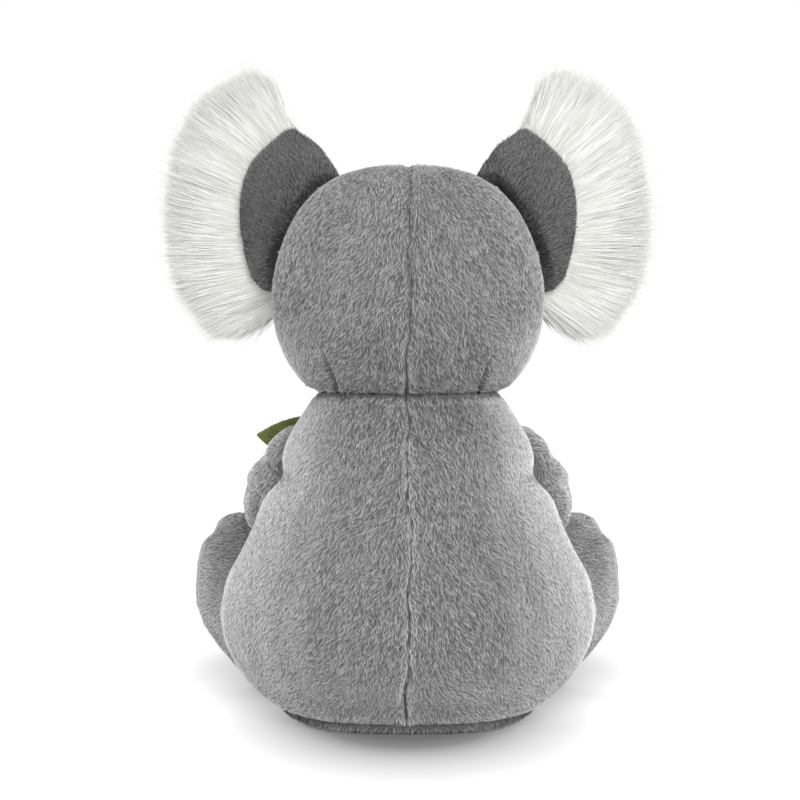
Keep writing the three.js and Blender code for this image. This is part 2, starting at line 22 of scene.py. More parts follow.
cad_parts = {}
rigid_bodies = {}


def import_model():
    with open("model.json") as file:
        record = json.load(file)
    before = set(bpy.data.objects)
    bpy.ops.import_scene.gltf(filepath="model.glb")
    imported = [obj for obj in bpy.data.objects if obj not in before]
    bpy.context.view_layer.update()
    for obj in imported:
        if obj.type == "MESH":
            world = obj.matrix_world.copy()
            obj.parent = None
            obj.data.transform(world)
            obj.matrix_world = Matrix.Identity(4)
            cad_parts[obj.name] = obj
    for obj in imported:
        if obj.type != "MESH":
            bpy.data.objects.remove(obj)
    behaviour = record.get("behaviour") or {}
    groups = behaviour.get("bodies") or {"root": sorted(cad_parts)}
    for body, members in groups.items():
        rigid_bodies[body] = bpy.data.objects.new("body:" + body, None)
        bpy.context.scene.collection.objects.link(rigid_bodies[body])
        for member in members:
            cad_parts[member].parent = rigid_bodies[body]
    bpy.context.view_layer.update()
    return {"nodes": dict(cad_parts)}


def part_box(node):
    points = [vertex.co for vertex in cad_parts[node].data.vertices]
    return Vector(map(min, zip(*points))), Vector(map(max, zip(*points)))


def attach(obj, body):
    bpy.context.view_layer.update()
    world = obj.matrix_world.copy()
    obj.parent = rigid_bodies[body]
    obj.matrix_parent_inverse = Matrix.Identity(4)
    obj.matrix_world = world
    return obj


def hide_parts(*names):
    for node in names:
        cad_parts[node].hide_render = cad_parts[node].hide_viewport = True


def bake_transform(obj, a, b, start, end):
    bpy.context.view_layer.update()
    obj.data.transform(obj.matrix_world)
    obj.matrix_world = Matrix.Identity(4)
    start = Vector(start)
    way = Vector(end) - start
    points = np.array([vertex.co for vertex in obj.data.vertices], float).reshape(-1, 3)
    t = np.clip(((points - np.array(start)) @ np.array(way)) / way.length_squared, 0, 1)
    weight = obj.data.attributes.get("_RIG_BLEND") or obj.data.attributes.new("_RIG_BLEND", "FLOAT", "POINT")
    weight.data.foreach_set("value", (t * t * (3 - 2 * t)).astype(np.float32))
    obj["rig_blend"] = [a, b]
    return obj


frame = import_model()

MM = 0.001
log = logging.getLogger("koala")

Points = np.ndarray
Object = bpy.types.Object
Socket = bpy.types.NodeSocket
Triple = tuple[float, float, float]


class Side(Enum):
    """The koala's sides. Its left is at +X."""

    LEFT = 1
    RIGHT = -1

    @property
    def word(self) -> str:
        """The side as it ends a node's name."""
        return self.name.lower()

    def of(self, x: float, y: float, z: float) -> Vector:
        """A point in millimetres, drawn for the left side, in metres on this side."""
        return Vector((self.value * x, y, z)) * MM


# Nodes and finishes


def linear(colour: str) -> tuple[float, float, float, float]:
    """An sRGB hex colour as linear light, with full alpha."""
    parts = [int(colour[at : at + 2], 16) / 255 for at in (0, 2, 4)]
    return (*(p / 12.92 if p <= 0.04045 else ((p + 0.055) / 1.055) ** 2.4 for p in parts), 1.0)


def feed(tree: bpy.types.NodeTree, node: bpy.types.Node, inputs: dict | Sequence) -> None:
    """Gives a node's sockets, by name or number, a value or the output to link."""
    pairs = inputs.items() if isinstance(inputs, dict) else enumerate(inputs)
    for key, value in pairs:
        if isinstance(value, Socket):
            tree.links.new(value, node.inputs[key])
        else:
            node.inputs[key].default_value = value


def add_node(tree, kind: str, inputs=(), out: str | int | None = None, stops=(), **settings):
    """Adds one node.

    Args:
        tree: The node tree.
        kind: The node's type, with its operation after a slash.
        inputs: For each socket, in order or by name or number, a value or the output to link.
        out: The output that is wanted.
        stops: A colour ramp's stops, as (place, sRGB hex colour).
        settings: The node's own properties.

    Returns:
        The output, or the node where none is named.
    """
    kind, *operation = kind.split("/")
    made = tree.nodes.new(kind)
    if operation:
        made.operation = operation[0]
    for name, value in settings.items():
        setattr(made, name, value)
    if stops:
        elements = made.color_ramp.elements
        while len(elements) < len(stops):
            elements.new(0.5)
        for element, (place, colour) in zip(elements, stops):
            element.position = place
            element.color = linear(colour)
    feed(tree, made, inputs)
    return made if out is None else made.outputs[out]


PLUS, MINUS = "ShaderNodeMath/ADD", "ShaderNodeMath/SUBTRACT"
TIMES, OVER = "ShaderNodeMath/MULTIPLY", "ShaderNodeMath/DIVIDE"
TIMES_PLUS, LARGER = "ShaderNodeMath/MULTIPLY_ADD", "ShaderNodeMath/MAXIMUM"
VECTOR_SUM, VECTOR_SCALED = "ShaderNodeVectorMath/ADD", "ShaderNodeVectorMath/SCALE"
VECTOR_UNIT, VECTOR_LENGTH = "ShaderNodeVectorMath/NORMALIZE", "ShaderNodeVectorMath/LENGTH"
NOISE, COLOUR_RAMP = "ShaderNodeTexNoise", "ShaderNodeValToRGB"
BAKE_MAP = "OFBake"  # across it a hair's tone, up it the way from root to tip


@dataclass(frozen=True)
class Finish:
    """What all finishes share: a name, and a material that is made at its first use."""

    name: str

    def material(self) -> bpy.types.Material:
        """Returns the finish's material."""
        made = bpy.data.materials.get(self.name)
        if made is None:
            made = bpy.data.materials.new(self.name)
            made.use_nodes = True
            shader = made.node_tree.nodes["Principled BSDF"]
            feed(made.node_tree, shader, self.look(made.node_tree))
        return made

    def look(self, tree) -> dict:
        """What the shader's sockets get."""
        raise NotImplementedError


@dataclass(frozen=True)
class PileFinish(Finish):
    """Polyester pile: matt, with a soft sheen at grazing angles, its roots painted darker as painted shade
    between the hairs.
    """

    root: str
    middle: str
    tip: str
    dark_share: str = "707070"  # what the darkest tufts are multiplied by
    sheen: float = 1.0
    roughness: float = 0.86

    def look(self, tree) -> dict:
        """Colours each hair from root to tip, darker at the root as painted shade, and varies them from tuft
        to tuft, with the painted light and shade of pale in the tone.
        """
        where = add_node(tree, "ShaderNodeUVMap", out="UV", uv_map=BAKE_MAP)
        parts = add_node(tree, "ShaderNodeSeparateXYZ", {0: where}).outputs
        # painted shade: each hair is darker at its root than at its tip, standing in for the shade between
        # the hairs
        hair = [(0.1, self.root), (0.5, self.middle), (0.85, self.tip)]
        tuft = [(0.1, self.dark_share), (0.9, "ffffff")]
        along = add_node(tree, COLOUR_RAMP, {"Fac": parts["Y"]}, "Color", hair)
        tone = add_node(tree, COLOUR_RAMP, {"Fac": parts["X"]}, "Color", tuft)
        both = {0: 1.0, 6: along, 7: tone}
        shaded = {"data_type": "RGBA", "blend_type": "MULTIPLY"}
        return {
            "Base Color": add_node(tree, "ShaderNodeMix", both, 2, **shaded),
            "Roughness": self.roughness,
            "Specular IOR Level": 0.25,
            "Sheen Weight": self.sheen,
            "Sheen Roughness": 0.4,
        }


@dataclass(frozen=True)
class ClothFinish(Finish):
    """Knitted backing, felt or velour: fine fibres or loops, matt, slightly uneven in tone."""

    dark: str
    light: str
    grain_mm: float = 0.7  # width of a loop or a clump of fibres
    relief_mm: float = 0.15
    roughness: float = 0.9

    def look(self, tree) -> dict:
        """Patterns the cloth in object space, at its real size."""
        where = add_node(tree, "ShaderNodeTexCoord", out="Object")
        fine = {"Vector": where, "Scale": 1 / (self.grain_mm * MM), "Detail": 4.0, "Roughness": 0.6}
        broad = {"Vector": where, "Scale": 1 / (self.grain_mm * MM) / 12, "Detail": 2.0}
        grain = add_node(tree, NOISE, fine, "Fac")
        both = add_node(tree, PLUS, (grain, add_node(tree, NOISE, broad, "Fac")), 0)
        tone = {"Fac": add_node(tree, TIMES, (both, 0.5), 0)}
        stops = [(0.36, self.dark), (0.64, self.light)]
        rough = {"Value": grain, 3: self.roughness - 0.06, 4: self.roughness + 0.06}
        relief = {"Height": grain, "Distance": self.relief_mm * MM, "Strength": 0.8}
        return {
            "Base Color": add_node(tree, COLOUR_RAMP, tone, "Color", stops),
            "Roughness": add_node(tree, "ShaderNodeMapRange", rough, 0),
            "Normal": add_node(tree, "ShaderNodeBump", relief, "Normal"),
            "Specular IOR Level": 0.3,
            "Sheen Weight": 0.3,
            "Sheen Roughness": 0.5,
        }


@dataclass(frozen=True)
class PlasticFinish(Finish):
    """Moulded plastic: a smooth gloss, with the faint unevenness of a moulded skin."""

    deep: str
    face: str
    roughness: float

    def look(self, tree) -> dict:
        """Gives the plastic a faint haze in colour and gloss."""
        where = add_node(tree, "ShaderNodeTexCoord", out="Object")
        clouds = {"Vector": where, "Scale": 260.0, "Detail": 3.0}
        haze = add_node(tree, NOISE, clouds, "Fac")
        stops = [(0.35, self.deep), (0.7, self.face)]
        rough = {"Value": haze, 3: self.roughness, 4: self.roughness * 1.6}
        return {
            "Base Color": add_node(tree, COLOUR_RAMP, {"Fac": haze}, "Color", stops),
            "Roughness": add_node(tree, "ShaderNodeMapRange", rough, 0),
        }


@dataclass(frozen=True)
class PaperFinish(Finish):
    """Studio paper: matt, and white to the camera except near the koala, where a painted shadow darkens its
    glow and its real shadow shows.
    """

    # painted shadow: how much of the glow is kept, outwards from under the koala and in a lobe beyond it
    UNDER = ((0.086, "000000"), (0.112, "4c4c4c"), (0.145, "a4a4a4"), (0.176, "c6c6c6"),
             (0.24, "f0f0f0"), (0.3, "ffffff"))
    BEHIND = ((0.4, "868686"), (1.4, "ffffff"))

    def look(self, tree) -> dict:
        """Lets the paper glow to the camera, with painted shadow under the koala and behind it."""
        rays = add_node(tree, "ShaderNodeLightPath").outputs
        paints = {0: rays["Is Camera Ray"], 6: (0.85, 0.85, 0.85, 1), 7: (0.2, 0.2, 0.2, 1)}
        glow = add_node(tree, LARGER, (rays["Is Camera Ray"], rays["Is Glossy Ray"]), 0)
        where = add_node(tree, "ShaderNodeTexCoord", out="Object")
        for shift, scale, stops, blend in (
            ((0, 0, 0), (3.0, 1.42, 1.67), self.UNDER, "LINEAR"),
            ((0, 0.81, 0), (7.5, 5.4, 1), self.BEHIND, "EASE"),
        ):
            ellipse = {"Vector": where, "Location": shift, "Scale": scale}
            placed = add_node(tree, "ShaderNodeMapping", ellipse, "Vector")
            away = add_node(tree, VECTOR_LENGTH, (placed,), "Value")
            shade = add_node(tree, COLOUR_RAMP, {"Fac": away}, stops=stops)
            shade.color_ramp.interpolation = blend
            glow = add_node(tree, TIMES, (glow, shade.outputs["Color"]), 0)
        return {
            "Base Color": add_node(tree, "ShaderNodeMix", paints, 2, data_type="RGBA"),
            "Roughness": 0.9,
            "Specular IOR Level": 0.1,
            "Emission Color": (1, 1, 1, 1),
            "Emission Strength": glow,
        }


@dataclass(frozen=True)
class Plush:
    """A pile, the cloth that it stands on, and the record's slot for both."""

    hair: PileFinish
    cloth: ClothFinish
    slot: str


def plush(word: str, pile: Sequence[str], knit: Sequence[str]) -> Plush:
    """A plush from its word and the colours of its pile and of its knitted backing."""
    hair = PileFinish(f"{word}_plush_pile", *pile)
    return Plush(hair, ClothFinish(f"{word}_knit_backing", *knit), f"{word}_plush")


# Mid grey plush: soft and matt, its roots painted much darker than its tips as painted shade between the
# hairs, and its backing dark grey as painted shade under the pile.
GREY = plush("grey", ("595959", "c1c1c1", "f6f6f6"), ("58585a", "6e6e70"))
# Charcoal plush of the ears' backs: the same soft pile, far darker.
EAR = plush("ear", ("2c2c2d", "686869", "b4b4b5"), ("38383a", "48484a"))
# Seat plush: grey painted darker than the back as painted shade, so that it reads as a shaded band under the
# back.
SEAT = plush("seat", ("565657", "9c9c9d", "bababb"), ("434344", "565657"))
# Off-white plush of the belly: bright and even, with little difference from tuft to tuft.
PALE = plush("pale", ("b9b8b4", "dddcd8", "efeeea", "d4d4d2"), ("b4b3ae", "cccbc6"))
# Stone grey plush of the soles: between the belly and the legs.
SOLE = plush("sole", ("a3a2a0", "c9c8c5", "dddcd9", "c4c4c2"), ("96958f", "b0afab"))
# Long fur: silky white strands without sheen, on a plain white bed that shows at their roots.
LONG = Plush(
    PileFinish("long_white_fur", "ebebe8", "f9f9f7", "fffffd", "d6d6d3", sheen=0.0, roughness=1.0),
    ClothFinish("long_fur_bed", "cfcfca", "d8d8d4", grain_mm=1.6, relief_mm=0.1),
    "long_fur",
)
# Polyester filling: loose off-white fibre with coarse soft lumps.
FIBRE = ClothFinish("fibre_filling", "e2e1dd", "f2f1ee", grain_mm=2.5, relief_mm=0.8)
# Cotton of the pouch: plain cream weave.
COTTON = ClothFinish("cotton_pouch", "c9c1ae", "ddd6c5", grain_mm=0.5)
# Velour of the nose: near black with a dull bloom.
VELOUR = ClothFinish(
    "black_velour", "121213", "262628", grain_mm=0.45, relief_mm=0.12, roughness=0.7
)
# Wool felt of the leaves: olive green, dull and slightly mottled.
LEAF = ClothFinish("green_wool_felt", "566026", "7d8749", grain_mm=0.8, relief_mm=0.25)
# Loose fibres on the felt: a pale green haze along the leaves' edges.
FUZZ = PileFinish("green_felt_fuzz", "565e28", "737b44", "8f9564")
# Wool felt of the stem: bark brown.
STEM = ClothFinish("brown_wool_felt", "4b3c28", "73603f", grain_mm=0.8, relief_mm=0.2)
# Eyes: wet black gloss that mirrors the lamps.
EYE = PlasticFinish("black_moulded_eye", "050505", "0e0c0b", 0.06)
# Washers: dull white plastic.
WASHER = PlasticFinish("white_moulded_washer", "d8d8d4", "e6e6e2", 0.4)
# Threads: twisted yarn, dark against the face and a deeper green than the leaves.
BLACK_THREAD = ClothFinish("black_thread", "141414", "2a2a2a", grain_mm=0.3, relief_mm=0.08)
GREEN_THREAD = ClothFinish("green_thread", "39411f", "566030", grain_mm=0.3, relief_mm=0.08)


# Meshes


def show(obj: Object) -> Object:
    """Links an object to the scene."""
    bpy.context.scene.collection.objects.link(obj)
    return obj


def as_object(name: str, shape: bmesh.types.BMesh) -> Object:
    """A new object at the origin from a shape, which is used up."""
    mesh = bpy.data.meshes.new(name)
    shape.to_mesh(mesh)
    shape.free()
    return show(bpy.data.objects.new(name, mesh))


def bake_modifiers(obj: Object) -> Object:
    """Turns what an object's modifiers make into its plain mesh."""
    shapes = bpy.context.evaluated_depsgraph_get()
    made = bpy.data.meshes.new_from_object(obj.evaluated_get(shapes))
    obj.modifiers.clear()
    obj.data = made
    return obj


def places(obj: Object, what: str = "co") -> Points:
    """The places of an object's vertices, or with "normal" their normals, as rows."""
    flat = np.empty(len(obj.data.vertices) * 3, np.float32)
    obj.data.vertices.foreach_get(what, flat)
    return flat.reshape(-1, 3).astype(float)


def surface(obj: Object) -> tuple[Points, Points]:
    """The places and the normals of an object's vertices."""
    return places(obj), places(obj, "normal")


def put(obj: Object, rows: Points) -> None:
    """Moves an object's vertices to these places."""
    obj.data.vertices.foreach_set("co", rows.astype(np.float32).ravel())
    obj.data.update()


def unit(rows: Points) -> Points:
    """Rows scaled to length 1."""
    return rows / np.maximum(np.linalg.norm(rows, axis=1, keepdims=True), 1e-12)


def ease(values: Points, low: float, high: float) -> Points:
    """0 up to low, 1 from high, smooth between them."""
    share = np.clip((values - low) / (high - low), 0, 1)
    return share * share * (3 - 2 * share)


def ease_mm(values: Points, low_mm: float, high_mm: float) -> Points:
    """The same for lengths in metres between two in millimetres."""
    return ease(values, low_mm * MM, high_mm * MM)


def sideways(normals: Points, low: float, high: float) -> Points:
    """0 where a surface faces ahead or behind, 1 where it faces to a side."""
    return ease(np.abs(normals[:, 0]), low, high)


def note(obj: Object, name: str, values: Points) -> None:
    """Stores a number or a vector for each vertex under a name."""
    vector = values.ndim == 2
    kind = "FLOAT_VECTOR" if vector else "FLOAT"
    held = obj.data.attributes
    stored = held.get(name) or held.new(name, kind, "POINT")
    stored.data.foreach_set("vector" if vector else "value", values.astype(np.float32).ravel())


def neighbour_mean(obj: Object) -> Callable[[Points], Points]:
    """Returns a function that averages values over each vertex's neighbours."""
    mesh = obj.data
    ends = np.empty(len(mesh.edges) * 2, np.int32)
    mesh.edges.foreach_get("vertices", ends)
    a, b = ends.reshape(-1, 2).T
    here, there = np.concatenate([a, b]), np.concatenate([b, a])
    count = np.maximum(np.bincount(here, minlength=len(mesh.vertices)), 1)

    def mean(values: Points) -> Points:
        columns = values.reshape(len(values), -1).T
        sums = [np.bincount(here, c[there], minlength=len(count)) / count for c in columns]
        return np.stack(sums, 1).reshape(values.shape)

    return mean


WELD_MM = 0.005  # vertices of neighbouring solids nearer than this are one
SWELL_MM = 0.3  # closes the hairline gaps between neighbouring solids
BELOW_MM = 2.5  # how far what rests on the floor is drawn out below it, to be pressed flat
FLOOR_MM = 0.4  # where it is pressed flat, which leaves room for its pile
NECK_MM = 137.0  # the height of the neck's seam


def from_solids(name: str, nodes: Sequence[str]) -> Object:
    """One object with copies of the meshes of some of the frame's nodes, merged."""
    joined = bmesh.new()
    for node in nodes:
        joined.from_mesh(frame["nodes"][node].data)
    bmesh.ops.remove_doubles(joined, verts=joined.verts, dist=WELD_MM * MM)
    made = as_object(name, joined)
    rows, normals = surface(made)
    put(made, rows + normals * SWELL_MM * MM)
    return made


def tree_of(obj: Object) -> BVHTree:
    """A search tree over an object's mesh."""
    faces = [list(face.vertices) for face in obj.data.polygons]
    return BVHTree.FromPolygons(places(obj).tolist(), faces)


def keep_largest(obj: Object) -> None:
    """Deletes all but the largest connected shell, such as the inner side of a hollow."""
    shape = bmesh.new()
    shape.from_mesh(obj.data)
    left, best = set(shape.verts), []
    while left:
        shell, edge = [], [left.pop()]
        while edge:
            vertex = edge.pop()
            shell.append(vertex)
            for link in vertex.link_edges:
                other = link.other_vert(vertex)
                if other in left:
                    left.remove(other)
                    edge.append(other)
        best = max(best, shell, key=len)
    kept = set(best)
    bmesh.ops.delete(shape, geom=[v for v in shape.verts if v not in kept], context="VERTS")
    shape.to_mesh(obj.data)
    shape.free()


def smooth_skin(
    name: str, nodes: Sequence[str], voxel_mm: float, rounds: int, sink_mm: float, crisp=False
) -> Object:
    """A smooth closed skin over some solids.

    Args:
        name: The object's name.
        nodes: The solids, laid against each other.
        voxel_mm: The size of the skin's faces.
        rounds: How often it is relaxed, which rounds off the solids' flats.
        sink_mm: How far it lies inside them, for the pile that stands on it.
        crisp: Keeps the crease at the neck.

    Returns:
        The skin.
    """
    skin = from_solids(name, nodes)
    rows = places(skin)
    rows[:, 2] -= BELOW_MM * MM * (1 - ease_mm(rows[:, 2], 0, 12)) * (sink_mm < 0.6)
    put(skin, rows)
    remesh = skin.modifiers.new("remesh", "REMESH")
    remesh.mode = "VOXEL"
    remesh.voxel_size = voxel_mm * MM
    bake_modifiers(skin)
    keep_largest(skin)
    flats, mean = tree_of(skin), neighbour_mean(skin)
    rows = places(skin)
    share = np.full(len(rows), 0.5)
    if crisp:
        share -= 0.42 * np.exp(-(((rows[:, 2] / MM - NECK_MM) / 13) ** 2))
    for _ in range(rounds):
        rows += (mean(rows) - rows) * share[:, None]
    put(skin, rows)
    for softness in (rounds, rounds // 3):  # gives back the bulk that relaxing takes
        normals = places(skin, "normal")
        nearest = np.array([flats.find_nearest(row)[0] for row in rows])
        lost = ((nearest - rows) * normals).sum(1)
        for _ in range(softness):
            lost = mean(lost)
        rows += normals * lost[:, None]
        put(skin, rows)
    put(skin, rows - places(skin, "normal") * (sink_mm + SWELL_MM) * MM)
    return skin


def tuck_into(skin: Object, other: BVHTree, edge_mm: float, reach_mm: float, depth_mm: float):
    """Draws the part of a skin that lies near another skin into it, as where it is sewn on.

    Args:
        skin: The skin.
        other: The skin it is sewn to.
        edge_mm: What lies nearer than this goes all the way in.
        reach_mm: What lies further off than this stays.
        depth_mm: How deep it goes in.
    """
    rows = places(skin)
    found = [other.find_nearest(row) for row in rows]
    spots = np.array([spot - normal * depth_mm * MM for spot, normal, _, _ in found])
    gaps = np.array([gap for _, _, _, gap in found])
    outside = np.array([(Vector(r) - f[0]).dot(f[1]) > 0 for r, f in zip(rows, found)])
    share = (1 - ease_mm(gaps, edge_mm, reach_mm)) * outside
    put(skin, rows + (spots - rows) * share[:, None])


@dataclass(frozen=True)
class Seam:
    """A plane that cuts a skin into panels. The panel is the part that the plane faces."""

    point: Triple
    facing: Triple

    def distance(self, rows: Points) -> Points:
        """How far points lie on the panel's side, in metres."""
        facing = np.array(self.facing) / np.linalg.norm(self.facing)
        return (rows - np.array(self.point) * MM) @ facing

    def turned(self) -> "Seam":
        """The same seam for the panel on its other side."""
        return Seam(self.point, tuple(-part for part in self.facing))

    def slice(self, shape: bmesh.types.BMesh, offsets_mm: Sequence[float], cut=False) -> None:
        """Adds rings of vertices beside the seam, and with cut drops what is behind the first."""
        for offset in offsets_mm:
            way = Vector(self.facing)
            bmesh.ops.bisect_plane(
                shape,
                geom=[*shape.verts, *shape.edges, *shape.faces],
                plane_co=Vector(self.point) * MM + way.normalized() * offset * MM,
                plane_no=way,
                clear_inner=cut and offset == offsets_mm[0],
                dist=0.02 * MM,
            )


NECK = Seam((0, 0, NECK_MM), (0, 0, 1))
LEFT_HALF = Seam((0, 0, 0), (1, 0, 0))
SEAM_LOOPS_MM = (0.15, 0.5, 1.3, 2.6, 4.2)  # the cut and rings of vertices beside it


def cut_panel(skin: Object, name: str, seams: Sequence[Seam], tuck: tuple[float, float]) -> Object:
    """The part of a skin inside some seams, with its edges drawn in as sewing draws them.

    Args:
        skin: The closed skin.
        name: The panel's name.
        seams: The panel's seams.
        tuck: How deep the edge is drawn in and how wide the valley beside it is.

    Returns:
        The open panel.
    """
    shape = bmesh.new()
    shape.from_mesh(skin.data)
    for seam in seams:
        seam.slice(shape, SEAM_LOOPS_MM, cut=True)
    panel = as_object(name, shape)
    depth, width = tuck
    rows, normals = surface(panel)
    beside = [np.exp(-((seam.distance(rows) / (width * MM)) ** 2)) for seam in seams]
    put(panel, rows - normals * (depth * MM * np.max(beside, axis=0))[:, None])
    return panel


def groove(panel: Object, seam: Seam, share: Points, depth_mm: float, width_mm: float) -> None:
    """Presses a fold or a dart into a panel along a plane.

    Args:
        panel: The panel.
        seam: The plane.
        share: The share of the depth at each vertex.
        depth_mm: The fold's depth.
        width_mm: Its width.
    """
    rows, normals = surface(panel)
    off = seam.distance(rows) / (width_mm * MM)
    put(panel, rows - normals * (depth_mm * MM * share * np.exp(-(off**2)))[:, None])


def wander(panel: Object) -> None:
    """Lets the centre-back seam wander, as a hand-guided seam does, and the seat's seam sag."""
    rows = places(panel)
    x, y, z = (rows / MM).T
    off = 0.7 * np.sin(z / 19 + 1) + 0.6 * np.sin(z / 7.3) + 0.45 * np.sin(z / 3.1 + 2)
    rows[:, 0] += off * MM * np.exp(-((x / 10) ** 2)) * ease(y, 0, 12)
    sag = 3.2 * ease(y, 5, 42) * np.exp(-(((z - 6.5) / 4.5) ** 2)) * ease(z, 0.4, 3)
    rows[:, 2] -= sag * MM
    put(panel, rows)


def press_flat(skin: Object) -> None:
    """Presses what lies below the floor, or nearly on it, flat."""
    rows = places(skin)
    rows[:, 2] = np.maximum(rows[:, 2], FLOOR_MM * MM)
    put(skin, rows)


def thicken(panel: Object, name: str, thick_mm: float) -> Object:
    """A closed shell of cloth inwards from an open panel. A closed skin stays as it is."""
    shell = show(bpy.data.objects.new(name, panel.data.copy()))
    if thick_mm:
        wall = shell.modifiers.new("wall", "SOLIDIFY")
        wall.thickness = thick_mm * MM
        wall.offset = -1
        wall.use_rim = True
        bake_modifiers(shell)
    shell.data.shade_smooth()
    return shell


def finish_piece(obj: Object, finish: Finish, replaces: Sequence[str] = ()) -> Object:
    """Gives a piece its one material, and hides the solids it stands for."""
    mesh = obj.data
    mesh.materials.clear()
    mesh.materials.append(finish.material())
    mesh.polygons.foreach_set("material_index", np.zeros(len(mesh.polygons), np.int32))
    if replaces:
        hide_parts(*replaces)
    log.info("%s: %d faces", obj.name, len(mesh.polygons))
    return obj


# Geometry Nodes


class Pattern:
    """A Geometry Nodes tree with named inputs, which an object's mesh is run through."""

    NAME = ""
    INPUTS: tuple[tuple[str, str], ...] = ()

    def __init__(self) -> None:
        """Builds the tree."""
        tree = self.tree = bpy.data.node_groups.new(self.NAME, "GeometryNodeTree")
        self.ids = {}
        for name, kind in (("Base", "Geometry"), *self.INPUTS):
            kind = f"NodeSocket{kind}"
            socket = tree.interface.new_socket(name=name, in_out="INPUT", socket_type=kind)
            self.ids[name] = socket.identifier
        tree.interface.new_socket(name="Made", in_out="OUTPUT", socket_type="NodeSocketGeometry")
        made = self._make(add_node(tree, "NodeGroupInput").outputs)
        add_node(tree, "NodeGroupOutput", {"Made": made})

    def _make(self, given) -> Socket:
        """What the tree makes of its inputs."""
        raise NotImplementedError

    def _add(self, kind: str, inputs=(), out: str | int | None = 0, **settings) -> Socket:
        """An output of a new node in the tree."""
        return add_node(self.tree, kind, inputs, out, **settings)

    def _real(self, points: Socket, instance: Socket, turn: Socket, scale: Socket) -> Socket:
        """Copies of a shape on points, as plain mesh."""
        laid = {"Points": points, "Instance": instance, "Rotation": turn, "Scale": scale}
        standing = self._add("GeometryNodeInstanceOnPoints", laid, "Instances")
        return self._add("GeometryNodeRealizeInstances", {"Geometry": standing}, "Geometry")

    def run(self, obj: Object, values: dict) -> Object:
        """Turns an object's mesh into what the tree makes of it, with these inputs."""
        laid = obj.modifiers.new(self.NAME, "NODES")
        laid.node_group = self.tree
        for name, value in values.items():
            laid[self.ids[name]] = value
        return bake_modifiers(obj)


